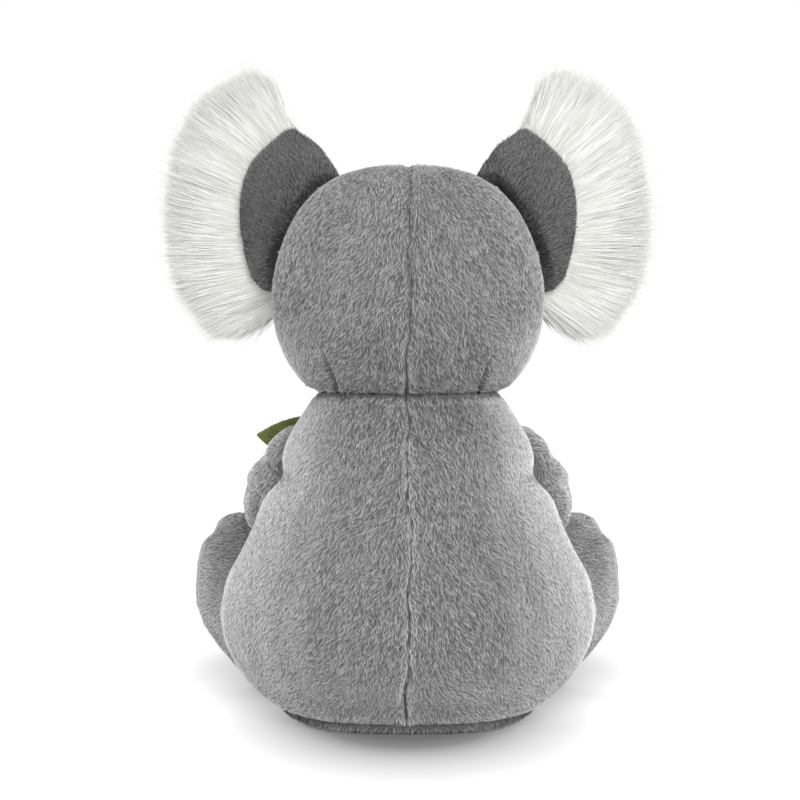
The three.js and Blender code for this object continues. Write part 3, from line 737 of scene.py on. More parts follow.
class PileTree(Pattern):
    """The node tree that grows pile or long fur on a panel.

    The panel holds, for each vertex, comb (which way the hairs lie), rise (its outward
    normal), cover (the share of the full density), reach (the share of the full length),
    pale (painted light: how much lighter the hairs' tone is painted, or below 0 how much
    darker as painted shade) and bend (how far the tips are moved, as shares of the length).
    """

    NAME = "pile"
    SIZES = ("Spacing", "Length", "Width", "Thickness", "Swirl Size", "Tuft Size")
    SHARES = ("Lift", "Stray", "Swirl", "Roundness")
    INPUTS = (
        *((name, "Float") for name in SIZES + SHARES),
        ("Steps", "Int"), ("Seed", "Int"), ("Hair", "Material"),
    )
    VECTORS = ("comb", "rise", "bend", "way")
    NUMBERS = ("cover", "reach", "pale", "length", "tone", "along", "beside", "ridge")
    DRAWS = {  # a hair's random shares: lowest, highest and seed
        "length": (0.78, 1.18, 11), "tone": (0.0, 0.8, 12),
        "stray": (-1.0, 1.0, 13), "lift": (0.6, 1.4, 14),
    }
    LUMPS = {"Tuft Size": 3.7, "Swirl Size": 1.3}  # how far each noise is shifted, to differ
    STRIP = 0.0025  # how wide a hair's strip on the map is
    CROWD = 2.6  # how many hairs are tried on each square of the spacing

    def _make(self, given) -> Socket:
        """Hairs on the panel."""
        self.kinds = {name: "FLOAT_VECTOR" for name in self.VECTORS}
        self.kinds |= {name: "FLOAT" for name in self.NUMBERS}
        held = "GeometryNodeInputNamedAttribute"
        self.held = {
            name: self._add(held, {"Name": name}, "Attribute", data_type=kind)
            for name, kind in self.kinds.items()
        }
        return self._hairs(given, self._points(given))

    def _keep(self, geometry: Socket, values: dict[str, Socket]) -> Socket:
        """Stores values under their names."""
        for name, value in values.items():
            inputs = {"Geometry": geometry, "Name": name, "Value": value}
            kind = self.kinds[name]
            geometry = self._add("GeometryNodeStoreNamedAttribute", inputs, data_type=kind)
        return geometry

    def _points(self, given) -> Socket:
        """The roots, with each hair's way, length and tone stored, the tone carrying the painted light and
        shade of pale.
        """
        add, held, noise = self._add, self.held, {}
        draws = {
            name: add("FunctionNodeRandomValue", {2: low, 3: high, 8: seed}, 1, data_type="FLOAT")
            for name, (low, high, seed) in self.DRAWS.items()
        }
        for size, offset in self.LUMPS.items():
            moved = add(VECTOR_SUM, (add("GeometryNodeInputPosition"), (offset, offset, offset)))
            lumps = {"Vector": moved, "Scale": add(OVER, (1.0, given[size])), "Detail": 1.0}
            noise[size] = add(NOISE, lumps, "Fac")
        square = add(TIMES, (given["Spacing"], given["Spacing"]))
        spread = {
            "Mesh": given["Base"],
            "Distance Min": given["Spacing"],
            "Density Max": add(OVER, (self.CROWD, square)),
            "Density Factor": held["cover"],
            "Seed": given["Seed"],
        }
        sown = "GeometryNodeDistributePointsOnFaces"
        roots = add(sown, spread, "Points", distribute_method="POISSON")
        full = add(TIMES, (given["Length"], held["reach"]))
        tuft = {"Value": noise["Tuft Size"], 1: 0.3, 2: 0.7, 3: 0.0, 4: 0.2}
        tone = add(PLUS, (add("ShaderNodeMapRange", tuft), draws["tone"]))
        # painted light and shade: pale lifts each hair's tone towards white, and below 0 darkens it
        tone_with_painted_light = add(TIMES_PLUS, (add(MINUS, (1.0, tone)), held["pale"], tone))
        eddies = add(MINUS, (noise["Swirl Size"], 0.5))
        swirl = add(TIMES, (eddies, add(TIMES, (given["Swirl"], 4.0))))
        stray = add(TIMES, (draws["stray"], given["Stray"]))
        axis = {"Axis": held["rise"], "Angle": add(PLUS, (swirl, stray))}
        spin = {"Vector": held["comb"], "Rotation": add("FunctionNodeAxisAngleToRotation", axis)}
        lift = {0: held["rise"], "Scale": add(TIMES, (given["Lift"], draws["lift"]))}
        way = add(VECTOR_SUM, (add("FunctionNodeRotateVector", spin), add(VECTOR_SCALED, lift)))
        return self._keep(roots, {
            "length": add(TIMES, (full, draws["length"])),
            "tone": add(LARGER, (tone_with_painted_light, 0.0)),
            "way": add(VECTOR_UNIT, (way,)),
        })

    def _hairs(self, given, roots: Socket) -> Socket:
        """A tapered three-sided hair on each root, with its map and its soft normals."""
        add, held = self._add, self.held
        cone = {"Vertices": 3, "Side Segments": given["Steps"], "Radius Top": 0.0,
                "Radius Bottom": 0.577, "Depth": 1.0}
        hair = add("GeometryNodeMeshCone", cone, "Mesh", fill_type="NGON")
        parts = add("ShaderNodeSeparateXYZ", (add("GeometryNodeInputPosition"),), None).outputs
        hair = self._keep(hair, {"along": parts["Z"], "beside": parts["Y"], "ridge": parts["X"]})
        axes = {"Primary Axis": held["way"], "Secondary Axis": held["rise"]}
        turn = add("FunctionNodeAxesToRotation", axes, primary_axis="Z", secondary_axis="X")
        length, along = held["length"], held["along"]
        size = add("ShaderNodeCombineXYZ", (given["Thickness"], given["Width"], length))
        real = self._real(roots, hair, turn, size)
        droop = add(TIMES, (add(TIMES, (along, along)), length))
        bend = add(VECTOR_SCALED, {0: held["bend"], "Scale": droop})
        bent = add("GeometryNodeSetPosition", {"Geometry": real, "Offset": bend})
        beside = add(TIMES, (add(TIMES, (held["beside"], 2.0)), self.STRIP))
        across = add(PLUS, (add(TIMES_PLUS, (held["tone"], 0.86, 0.07)), beside))
        ridge = add(TIMES, (held["ridge"], 0.03))
        up = add(PLUS, (add(TIMES_PLUS, (along, 0.8, 0.08)), ridge))
        spot = add("ShaderNodeCombineXYZ", (across, up, 0.0))
        laid = {"Geometry": bent, "Name": BAKE_MAP, "Value": spot}
        kind = {"data_type": "FLOAT2", "domain": "CORNER"}
        mapped = add("GeometryNodeStoreNamedAttribute", laid, **kind)
        own = {0: add("GeometryNodeInputNormal", out="Normal"), "Scale": given["Roundness"]}
        rounded = add(VECTOR_SUM, (held["rise"], add(VECTOR_SCALED, own)))
        normals = {"Mesh": mapped, "Custom Normal": add(VECTOR_UNIT, (rounded,))}
        lit = add("GeometryNodeSetMeshNormal", normals, "Mesh", mode="FREE", domain="POINT")
        return add("GeometryNodeSetMaterial", {"Geometry": lit, "Material": given["Hair"]})


class StitchTree(Pattern):
    """The node tree that lays a stitch at every pitch along a line of edges."""

    NAME = "stitches"
    INPUTS = (("Pitch", "Float"), ("Gauge", "Float"), ("Thread", "Material"))

    def _make(self, given) -> Socket:
        """A bead of thread at every pitch."""
        add = self._add
        curve = add("GeometryNodeMeshToCurve", {"Mesh": given["Base"]})
        steps = {"Curve": curve, "Length": given["Pitch"]}
        spaced = add("GeometryNodeResampleCurve", steps, mode="LENGTH")
        way = {"Vector": add("GeometryNodeInputTangent")}
        turn = add("FunctionNodeAlignRotationToVector", way, axis="Z")
        half, thick = add(TIMES, (given["Pitch"], 0.56)), add(TIMES, (given["Gauge"], 0.5))
        size = add("ShaderNodeCombineXYZ", (thick, thick, half))
        ball = {"Segments": 8, "Rings": 6, "Radius": 1.0}
        bead = add("GeometryNodeMeshUVSphere", ball, "Mesh")
        real = self._real(spaced, bead, turn, size)
        soft = add("GeometryNodeSetShadeSmooth", {"Geometry": real})
        return add("GeometryNodeSetMaterial", {"Geometry": soft, "Material": given["Thread"]})

    def sew(
        self, name: str, lines: Sequence, pitch: float, gauge: float, thread: Finish, slot: str
    ) -> Object:
        """Sews stitches along lines of points.

        Args:
            name: The piece's name.
            lines: The lines, in metres.
            pitch: From stitch to stitch.
            gauge: The thread's thickness.
            thread: Its finish.
            slot: The record's slot; not used.

        Returns:
            The stitches as a plain mesh.
        """
        vertices, edges = [], []
        for line in lines:
            first = len(vertices)
            vertices += [tuple(point) for point in line]
            edges += [(first + at, first + at + 1) for at in range(len(line) - 1)]
        mesh = bpy.data.meshes.new(name)
        mesh.from_pydata(vertices, edges, [])
        values = {"Pitch": pitch * MM, "Gauge": gauge * MM, "Thread": thread.material()}
        sewn = self.run(show(bpy.data.objects.new(name, mesh)), values)
        return finish_piece(sewn, thread)


@dataclass(frozen=True)
class Pile:
    """How the hairs on a panel are: sizes in millimetres, angles in radians."""

    spacing: float = 0.5
    length: float = 2.6
    width: float = 0.58
    thickness: float = 0.42
    lift: float = 0.25
    stray: float = 0.5
    swirl: float = 0.45
    swirl_size: float = 14.0
    tuft_size: float = 3.0
    roundness: float = 0.6
    steps: int = 1

    def grow(
        self, loom: PileTree, panel: Object, name: str, hair: PileFinish, seed: int, slot: str
    ) -> Object:
        """Grows the pile on a panel.

        Args:
            loom: The node tree.
            panel: The panel, with its comb stored.
            name: The new piece's name.
            hair: The pile's finish.
            seed: Sets where the hairs stand.
            slot: The record's slot; not used.

        Returns:
            The pile as a plain mesh.
        """
        values = {"Steps": self.steps, "Seed": seed, "Hair": hair.material()}
        for key in loom.SIZES:
            values[key] = getattr(self, key.lower().replace(" ", "_")) * MM
        for key in loom.SHARES:
            values[key] = getattr(self, key.lower())
        for key in ("Spacing", "Width"):
            values[key] *= 1.0
        pile = loom.run(show(bpy.data.objects.new(name, panel.data.copy())), values)
        for spare in loom.VECTORS + loom.NUMBERS:
            if stored := pile.data.attributes.get(spare):
                pile.data.attributes.remove(stored)
        return finish_piece(pile, hair)


TIP_DROOP = 0.12  # how far the tips bend back to the skin, as a share of the length
WORN_MM = 3.2  # below this height the pile is shorter, pressed by the floor


def comb_panel(panel: Object, way: Points, cover: Points, reach=None, pale=0.0) -> None:
    """Stores on a panel which way its pile lies and how dense and long it is.

    Args:
        panel: The open panel.
        way: Where the pile lies to at each vertex. What sticks out of the skin is dropped.
        cover: The share of the full density at each vertex.
        reach: The share of the full length at each vertex.
        pale: How much lighter the hairs' tone is painted at each vertex, as painted light. Below 0 it is
            darker, as painted shade.
    """
    rows, normals = surface(panel)
    full = np.ones(len(rows))
    note(panel, "comb", unit(way - (way * normals).sum(1, keepdims=True) * normals))
    note(panel, "rise", normals)
    note(panel, "cover", cover)
    note(panel, "reach", np.clip(rows[:, 2] / (WORN_MM * MM), 0.2, 1.0) if reach is None else reach)
    note(panel, "pale", full * pale)
    note(panel, "bend", -normals * TIP_DROOP)


def seam_cover(rows: Points, seams: Sequence[Seam]) -> Points:
    """Less pile right beside the seams, where it is caught in the sewing."""
    cover = np.ones(len(rows))
    at = rows.sum(1) / MM
    wave = 0.25 * MM * (np.sin(at / 2.9) + np.sin(at / 1.3 + 2))
    for seam in seams:
        cover *= 0.16 + 0.84 * ease_mm(np.abs(seam.distance(rows)) + wave, 0.2, 1.2)
    return cover


def clear_of(rows: Points, other: BVHTree, reach_mm: float) -> Points:
    """0 where points lie within a reach of, or inside, another skin, and 1 elsewhere."""
    free = np.ones(len(rows))
    for at, row in enumerate(rows):
        spot, normal, _, gap = other.find_nearest(row)
        if gap < reach_mm * MM or (Vector(row) - spot).dot(normal) < 0:
            free[at] = 0.0
    return free


def off_floor(normals: Points) -> Points:
    """0 where a surface faces straight down, where no pile stands, and 1 elsewhere."""
    return 1 - ease(-normals[:, 2], 0.9, 0.98)


def pinch(rows: Points) -> Points:
    """How far the arms press the body's sides in at each height, as a share of the width."""
    return 0.08 * np.exp(-(((rows[:, 2] - 102 * MM) / (7 * MM)) ** 2))


# The koala


class Workshop:
    """What the sub-assemblies share: the node trees, and the skin of body and head."""

    TRUNK = (
        "back_panel_left", "back_panel_right", "belly_panel", "seat_panel", "body_stuffing",
        "head_back_left", "head_back_right", "face_panel", "head_stuffing",
    )
    VOXEL_MM, ROUNDS, SINK_MM = 2.2, 18, 0.45

    def __init__(self) -> None:
        """Makes them. Body and head are cut from one skin, so they meet at the neck."""
        self.loom, self.sewing, self.seeds = PileTree(), StitchTree(), 0
        size = (self.VOXEL_MM, self.ROUNDS, self.SINK_MM)
        skin = self.trunk_skin = smooth_skin("trunk_skin", self.TRUNK, *size, crisp=True)
        rows = places(skin)
        low = 1 - ease_mm(rows[:, 2], 0, 14)
        rows[:, 1] += 5 * MM * low * ease_mm(rows[:, 1], 15, 40)
        rows[:, 0] *= 1 - 0.075 * low * ease_mm(np.abs(rows[:, 0]), 20, 50)
        rows[:, 0] *= 1 - pinch(rows) * ease_mm(np.abs(rows[:, 0]), 34, 56)
        put(skin, rows)
        press_flat(skin)
        self.trunk = tree_of(skin)

    def dress(self, panel: Object, node: str, pile: Pile, look: Plush, wall=1.2, word="cloth"):
        """Makes a panel's cloth and its pile.

        Args:
            panel: The combed open panel, which is used up.
            node: The solid that they stand for.
            pile: The pile.
            look: Its plush.
            wall: The cloth's thickness in millimetres, or 0 for a closed skin.
            word: What the names begin with.

        Returns:
            The cloth and the pile, not yet riding on a body.
        """
        self.seeds += 1
        name = f"{word}_{node}"
        backing = finish_piece(thicken(panel, name, wall), look.cloth, [node])
        grown = pile.grow(self.loom, panel, f"{name}_pile", look.hair, self.seeds, look.slot)
        bpy.data.objects.remove(panel)
        return [backing, grown]


class Part:
    """A sub-assembly of the koala."""

    def build(self, shop: Workshop) -> None:
        """Builds the part's pieces and seats each on its body.

        Args:
            shop: What the sub-assemblies share.
        """
        raise NotImplementedError


def body_lie(rows: Points, normals: Points) -> Points:
    """On the body and the back of the head the pile lies down, and out from the middle."""
    x = rows[:, 0]
    out = 0.75 * np.tanh(x / (22 * MM)) + 0.3 * np.sign(x) * np.exp(-np.abs(x) / (2.5 * MM))
    back = 0.8 * np.sign(normals[:, 1]) * np.clip(normals[:, 2], 0, 1)
    return np.stack([out, back, -np.ones(len(rows))], 1)


@dataclass
class Body(Part):
    """The body: two back panels, a belly and a seat."""

    seat_seam: float = 6.5
    side_seam: float = -10.0
    tuck: tuple[float, float] = (1.7, 1.2)
    pile: Pile = Pile()

    def build(self, shop: Workshop) -> None:
        """Builds the body, with painted light at its sides and low on its back, and painted shade at the
        shoulders.
        """
        neck, seat = NECK.turned(), Seam((0, 0, self.seat_seam), (0, 0, 1))
        behind = Seam((0, self.side_seam, 0), (0, 1, 0))
        for node, seams, look in (
            ("back_panel_left", [seat, neck, behind, LEFT_HALF], GREY),
            ("back_panel_right", [seat, neck, behind, LEFT_HALF.turned()], GREY),
            ("belly_panel", [seat, neck, behind.turned()], PALE),
            ("seat_panel", [seat.turned()], SEAT),
        ):
            panel = cut_panel(shop.trunk_skin, f"{node}_open", seams, self.tuck)
            rows, normals = surface(panel)
            z = rows[:, 2] / MM
            # painted light at the sides and low on the back, painted shade under the head at the shoulders
            pale = sideways(normals, 0.3, 0.75)
            pale += 0.35 * (1 - ease(z, 12, 30)) - 0.25 * ease(z, 108, 130)
            cover = seam_cover(rows, seams) * off_floor(normals)
            comb_panel(panel, body_lie(rows, normals), cover, pale=pale * (look is GREY))
            wander(panel)
            for piece in shop.dress(panel, node, self.pile, look):
                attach(piece, "body")


@dataclass
class Head(Part):
    """The head: two back panels with a dart each, and the face."""

    crown_seam: float = -6.0
    tuck: tuple[float, float] = (1.7, 1.25)
    dart: Triple = (30.9, 0, 145.2)
    dart_facing: tuple[float, float] = (0.947, -0.321)
    dart_top: float = 155.0
    dart_loops: tuple[float, ...] = (-1.1, -0.5, 0, 0.5, 1.1)
    dart_fold: tuple[float, float] = (1.4, 0.75)  # depth and width
    nose: Triple = (0, -66, 178)
    give: float = 20.0
    pile: Pile = Pile()

    def build(self, shop: Workshop) -> None:
        """Builds the head, blended into the body at the neck."""
        behind = Seam((0, self.crown_seam, 0), (0, 1, 0))
        start, end = (0, 0, NECK_MM * MM), (0, 0, (NECK_MM + self.give) * MM)
        for node, seams, side in (
            ("head_back_left", [NECK, behind, LEFT_HALF], 1),
            ("head_back_right", [NECK, behind, LEFT_HALF.turned()], -1),
            ("face_panel", [NECK, behind.turned()], 0),
        ):
            panel = cut_panel(shop.trunk_skin, f"{node}_open", seams, self.tuck)
            dart = self._dart_seam(panel, side)
            rows, normals = surface(panel)
            cover = seam_cover(rows, seams)
            if side:
                deep = self._dart_depth(rows)
                groove(panel, dart, deep, *self.dart_fold)
                cover *= 1 - deep * (1 - seam_cover(rows, [dart]))
            for spot, radius in Face().bald_spots():
                off = np.linalg.norm(rows - np.array(spot), axis=1)
                cover *= ease_mm(off, 0.75 * radius, 1.15 * radius)
            # painted light on the lower sides of the head's back, and painted shade low in its middle
            low = 1 - ease_mm(rows[:, 2], 150, 178)
            pale = low * (1.1 * sideways(normals, 0.4, 0.85) - 0.35) * abs(side)
            away = rows - np.array(Vector(self.nose) * MM)
            lie = body_lie(*surface(panel)) if side else away
            comb_panel(panel, lie, cover, pale=pale)
            wander(panel)
            for piece in shop.dress(panel, node, self.pile, GREY):
                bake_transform(piece, "body", "head", start, end)

    def _dart_seam(self, panel: Object, side: int) -> Seam:
        """The plane of a back panel's dart, with rings of vertices added beside it."""
        x, y, z = self.dart
        dart = Seam((side * x, y, z), (self.dart_facing[0], 0, side * self.dart_facing[1]))
        if side:
            shape = bmesh.new()
            shape.from_mesh(panel.data)
            dart.slice(shape, self.dart_loops)
            shape.to_mesh(panel.data)
            shape.free()
        return dart

    def _dart_depth(self, rows: Points) -> Points:
        """The share of its depth that a dart has at each place."""
        deep = 1 - ease_mm(rows[:, 2], self.dart_top - 6, self.dart_top)
        deep *= ease_mm(rows[:, 1], 5, 15)
        return deep * (0.4 + 0.6 * ease_mm(rows[:, 2], NECK_MM + 0.5, NECK_MM + 3))


def lathe(name: str, profile: Sequence[tuple[float, float]], sides: int) -> Object:
    """A turned solid about +Z from a profile of (radius, height) in millimetres, poles closed."""
    shape = bmesh.new()
    rings = []
    for radius, height in profile:
        count = sides if radius > 0 else 1
        turns = [2 * math.pi * at / count for at in range(count)]
        rings.append([
            shape.verts.new((radius * MM * math.cos(a), radius * MM * math.sin(a), height * MM))
            for a in turns
        ])
    for low, high in zip(rings, rings[1:]):
        for at in range(sides):
            corners = [ring[spot % len(ring)] for ring, spot in (
                (low, at), (low, at + 1), (high, at + 1), (high, at)
            )]
            shape.faces.new(list(dict.fromkeys(corners)))
    bmesh.ops.recalc_face_normals(shape, faces=shape.faces)
    turned = as_object(name, shape)
    turned.data.shade_smooth()
    return turned


@dataclass
class Face(Part):
    """The eyes, the nose and the sewn mouth."""

    eye_radius: float = 6.4
    eye_bulge: float = 4.6
    eye_splay: float = 31.0
    shaft_radius: float = 1.6
    shaft_length: float = 13.0
    nose_size: Triple = (12.5, 10.0, 16.0)
    nostril: Triple = (0.42, -0.42, 0.2)  # place across and up, and radius, of the nose's size
    mouth_gauge: float = 1.1
    mouth_pitch: float = 2.3

    LIP = ((0, 155.5), (2.4, 153.2), (5.4, 152.3), (8.4, 152.9), (11, 154.9), (12.6, 157.6))
    MOUTH = (((0, 161.5), (0, 158.5), (0, 155.5)), LIP, tuple((-x, z) for x, z in LIP))

    def eye_seat(self, side: Side) -> Vector:
        """The middle of an eye's flat back."""
        rows = places(frame["nodes"][f"eye_{side.word}"])
        wide = rows[np.abs(rows[:, 2] - (rows[:, 2].min() + rows[:, 2].max()) / 2) > 6 * MM]
        return Vector(wide.mean(0))

    def bald_spots(self) -> list[tuple[Vector, float]]:
        """Where the face has no pile, each a spot and a radius in millimetres."""
        low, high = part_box("nose")
        middle = Vector((0, high.y + 3 * MM, (low.z + high.z) / 2))
        spots = [(middle + Vector((0, 0, dz)) * MM, 11.5) for dz in (-4, 0, 4)]
        return spots + [(self.eye_seat(side), self.eye_radius) for side in Side]

    def build(self, shop: Workshop) -> None:
        """Builds the face's pieces, which ride on the head."""
        for side in Side:
            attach(self._eye(side), "head")
            washer = frame["nodes"][f"eye_washer_{side.word}"].data.materials
            washer.clear()
            washer.append(WASHER.material())
        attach(self._nose(), "head")
        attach(self._mouth(shop), "head")

    def _eye(self, side: Side) -> Object:
        """A glossy domed eye on its shaft."""
        r, b, shaft, deep = self.eye_radius, self.eye_bulge, self.shaft_radius, -self.shaft_length
        turns = np.linspace(0, math.pi / 2, 15)[1:-1]
        profile = [
            (0, deep), (shaft * 0.8, deep), (shaft, deep + 0.8), (shaft, -2.4),
            (r * 0.9, -2.0), (r, -1.4), (r, 0),
            *((r * math.cos(a) ** 0.92, b * math.sin(a)) for a in turns), (0, b),
        ]
        eye = lathe(f"glossy_eye_{side.word}", profile, 48)
        splay = math.radians(self.eye_splay) * side.value
        way = Vector((math.sin(splay), -math.cos(splay), 0))
        turn = np.array(way.to_track_quat("Z", "Y").to_matrix())
        put(eye, places(eye) @ turn.T + np.array(self.eye_seat(side)))
        return finish_piece(eye, EYE, [f"eye_{side.word}"])

    def _nose(self) -> Object:
        """A padded velour oval with two shallow nostrils."""
        low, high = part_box("nose")
        middle = np.array([0, low.y + self.nose_size[1] * MM, (low.z + high.z) / 2])
        shape = bmesh.new()
        bmesh.ops.create_uvsphere(shape, u_segments=56, v_segments=36, radius=1)
        nose = as_object("velour_nose", shape)
        rows = places(nose)
        rows = np.sign(rows) * np.abs(rows) ** 0.94
        rows[:, 0:1] *= 1 + 0.06 * rows[:, 2:3]
        across, up, radius = self.nostril
        for x in (-across, across):
            off = np.hypot(rows[:, 0] - x, rows[:, 2] - up) / radius
            rows[:, 1] += 0.2 * np.exp(-(off**2)) * (rows[:, 1] < 0)
        cleft = (rows[:, 0] / 0.09) ** 2 + ((rows[:, 2] + 0.72) / 0.35) ** 2
        rows[:, 1] += 0.09 * np.exp(-cleft) * (rows[:, 1] < 0)
        put(nose, rows * np.array(self.nose_size) * MM + middle)
        nose.data.shade_smooth()
        return finish_piece(nose, VELOUR, ["nose"])

    def _mouth(self, shop: Workshop) -> Object:
        """The mouth, stitched through the face in black thread."""
        lines = []
        for line in self.MOUTH:
            on_face = []
            for (x0, z0), (x1, z1) in zip(line, line[1:]):
                for share in (0, 0.25, 0.5, 0.75):
                    x, z = x0 + (x1 - x0) * share, z0 + (z1 - z0) * share
                    hit = shop.trunk.ray_cast(Vector((x, -120, z)) * MM, Vector((0, 1, 0)))[0]
                    on_face.append(hit + Vector((0, -1.5 * MM, 0)))
            lines.append(on_face)
        pitch, gauge = self.mouth_pitch, self.mouth_gauge
        return shop.sewing.sew("mouth_stitches", lines, pitch, gauge, BLACK_THREAD, "nose_velour")


@dataclass
class Ear(Part):
    """One ear: a grey plush cup, and long white fur on its front and round its rim."""

    side: Side
    voxel: float = 1.3
    rounds: int = 12
    sink: float = 0.3
    fur_sink: float = 0.9
    sewn: Triple = (2.4, 5.0, 1.5)  # edge, reach and depth of what is tucked into the head
    fur_sewn: Triple = (3.0, 6.0, 2.5)
    crease: float = 7.0
    fur_crease: float = 8.5
    middle: Triple = (46.7, 6.0, 211.0)
    seam: Triple = (51.0, -5.0, 203.5)
    seam_lean: float = 28.0
    give: tuple[float, float] = (2.0, 12.0)  # how far the joint's blend goes in and out from it
    rim: float = 35.0
    tips: float = 66.0
    bed_share: float = 0.84
    combed_from: Triple = (28.0, 0.0, 188.0)
    fanned_from: Triple = (24.0, -6.0, 196.0)
    pile: Pile = Pile(length=2.5, lift=0.3)
    fur: Pile = Pile(
        spacing=0.7, length=32, width=0.62, thickness=0.25, lift=0.07, stray=0.07,
        swirl=0.12, swirl_size=22, tuft_size=4, roundness=0.15, steps=4,
    )

    OUTLINE = (  # degrees up from straight out, then the rim's and the tips' share of their radius
        (-172, 0.56, 0.29), (-148, 0.63, 0.33), (-124, 0.74, 0.39), (-105, 0.86, 0.455),
        (-92, 0.92, 0.5), (-80, 0.95, 0.66), (-68, 0.955, 0.86), (-54, 0.89, 0.975),
        (-42, 0.78, 0.94), (-28, 0.7, 0.92), (-12, 0.66, 0.88), (4, 0.655, 0.865),
        (20, 0.68, 0.885), (34, 0.735, 0.945), (48, 0.8, 0.995), (60, 0.84, 1.0),
        (72, 0.905, 1.0), (81, 0.98, 0.9), (88, 1.01, 0.56), (108, 0.835, 0.443),
        (135, 0.67, 0.355), (160, 0.59, 0.31),
    )

    def build(self, shop: Workshop) -> None:
        """Builds the ear, blended into the head along its seam."""
        lean = math.radians(self.seam_lean)
        out = Vector((self.side.value * math.cos(lean), 0, math.sin(lean)))
        at = self.side.of(*self.seam)
        start, end = at - out * self.give[0] * MM, at + out * self.give[1] * MM
        for piece in (*self._cup(shop), *self._fur(shop)):
            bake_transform(piece, "head", f"ear_{self.side.word}", start, end)

    def _polar(self, rows: Points) -> tuple[Points, Points, Points]:
        """Distance from the ear's middle, angle round it, and the unit way out."""
        off = rows - np.array(self.side.of(*self.middle))
        off[:, 1] = 0
        radius = np.linalg.norm(off, axis=1)
        return radius, np.arctan2(off[:, 2], self.side.value * off[:, 0]), unit(off)

    def _reach(self, angle: Points, column: int) -> Points:
        """How far from the ear's middle the rim (1) or the fur's tips (2) are, in metres."""
        turns = [math.radians(row[0]) for row in self.OUTLINE]
        far = [row[column] * (self.rim, self.tips)[column - 1] for row in self.OUTLINE]
        if column == 2:
            far = [max(a, row[1] * self.rim) for a, row in zip(far, self.OUTLINE)]
        return np.interp(angle, turns, far, period=2 * math.pi) * MM

    def _press_crease(self, skin: Object, head: BVHTree, depth_mm: float) -> None:
        """Draws the ear's back forwards where it meets the head, which leaves a deep crease."""
        rows = places(skin)
        gaps = np.array([head.find_nearest(row)[3] for row in rows])
        behind = ease_mm(rows[:, 1], -6, 0)
        rows[:, 1] -= depth_mm * MM * (1 - ease_mm(gaps, 1.0, 4.8)) * behind
        put(skin, rows)

    def _cup(self, shop: Workshop) -> list[Object]:
        """The grey cup."""
        node = f"ear_back_{self.side.word}"
        skin = smooth_skin(f"{node}_open", [node], self.voxel, self.rounds, self.sink)
        rows = places(skin)
        radius, angle, way = self._polar(rows)
        wide = 1.6 * MM * ease(radius / self._reach(angle, 1), 0.6, 0.95)
        put(skin, rows + way * wide[:, None])
        tuck_into(skin, shop.trunk, *self.sewn)
        self._press_crease(skin, shop.trunk, self.crease)
        rows, normals = surface(skin)
        inner = ease(np.abs(np.degrees(angle)), 78, 90)
        cover = np.maximum(ease(normals[:, 1], -0.55, -0.1), inner)
        cover *= clear_of(rows, shop.trunk, 1.0)
        way = rows - np.array(self.side.of(*self.combed_from))
        # painted light: the ear's back is painted lighter towards its top, where the light falls
        comb_panel(skin, way, cover, pale=0.6 * ease_mm(rows[:, 2], 205, 238))
        return shop.dress(skin, node, self.pile, EAR, wall=0)

    def _fur(self, shop: Workshop) -> list[Object]:
        """The bed of the long fur, and the fur."""
        node = f"ear_fur_{self.side.word}"
        skin = smooth_skin(f"{node}_open", [node], self.voxel, self.rounds, self.fur_sink)
        rows = places(skin)
        radius, angle, way = self._polar(rows)
        over = np.maximum(radius - self._reach(angle, 1), 0) * (1 - self.bed_share)
        put(skin, rows - way * over[:, None])
        mean = neighbour_mean(skin)
        rows = places(skin)
        for _ in range(6):
            rows = (rows + mean(rows)) / 2
        put(skin, rows)
        tuck_into(skin, shop.trunk, *self.fur_sewn)
        self._press_crease(skin, shop.trunk, self.fur_crease)
        rows, normals = surface(skin)
        radius, angle, _ = self._polar(rows)
        way = unit(rows - np.array(self.side.of(*self.fanned_from)))
        up = (way * normals).sum(1, keepdims=True)
        way = unit(way - up * (1 - ease(up, 0.35, 0.8)) * normals)
        room, inside = np.zeros(len(rows)), np.ones(len(rows), bool)
        for step in range(1, 41):
            far, turn, _ = self._polar(rows + way * step * MM)
            inside &= far < self._reach(turn, 2)
            room += inside * MM
        reach = np.clip(room / (self.fur.length * MM), 0.02, 1.0)
        share = radius / self._reach(angle, 1)
        under_cup = (1 - ease(share, 0.93, 0.99)) * ease(normals[:, 1], -0.35, 0.0)
        cover = (0.45 + 0.55 * ease(share, 0.3, 0.9)) * (1 - under_cup) * ease(reach, 0.05, 0.1)
        cover *= clear_of(rows, shop.trunk, 0.8)
        comb_panel(skin, way, cover, reach)
        curl = np.random.default_rng(7 + self.side.value).normal(0, 1, (len(rows), 3))
        for _ in range(14):
            curl = mean(curl)
        note(skin, "comb", way)
        note(skin, "bend", curl * (0.06 / curl.std()) - normals * 0.05)
        return shop.dress(skin, node, self.fur, LONG, wall=0, word="bed")


def along_line(line: Sequence[Vector], rows: Points) -> Points:
    """The way of the nearest stretch of a line of points to each place, in metres."""
    ways = []
    near_spot = KDTree(4 * (len(line) - 1))
    for a, b in zip(line, line[1:]):
        for share in (0, 0.25, 0.5, 0.75):
            near_spot.insert(a.lerp(b, share), len(ways))
            ways.append((b - a).normalized())
    near_spot.balance()
    return np.array([ways[near_spot.find(row)[1]] for row in rows])


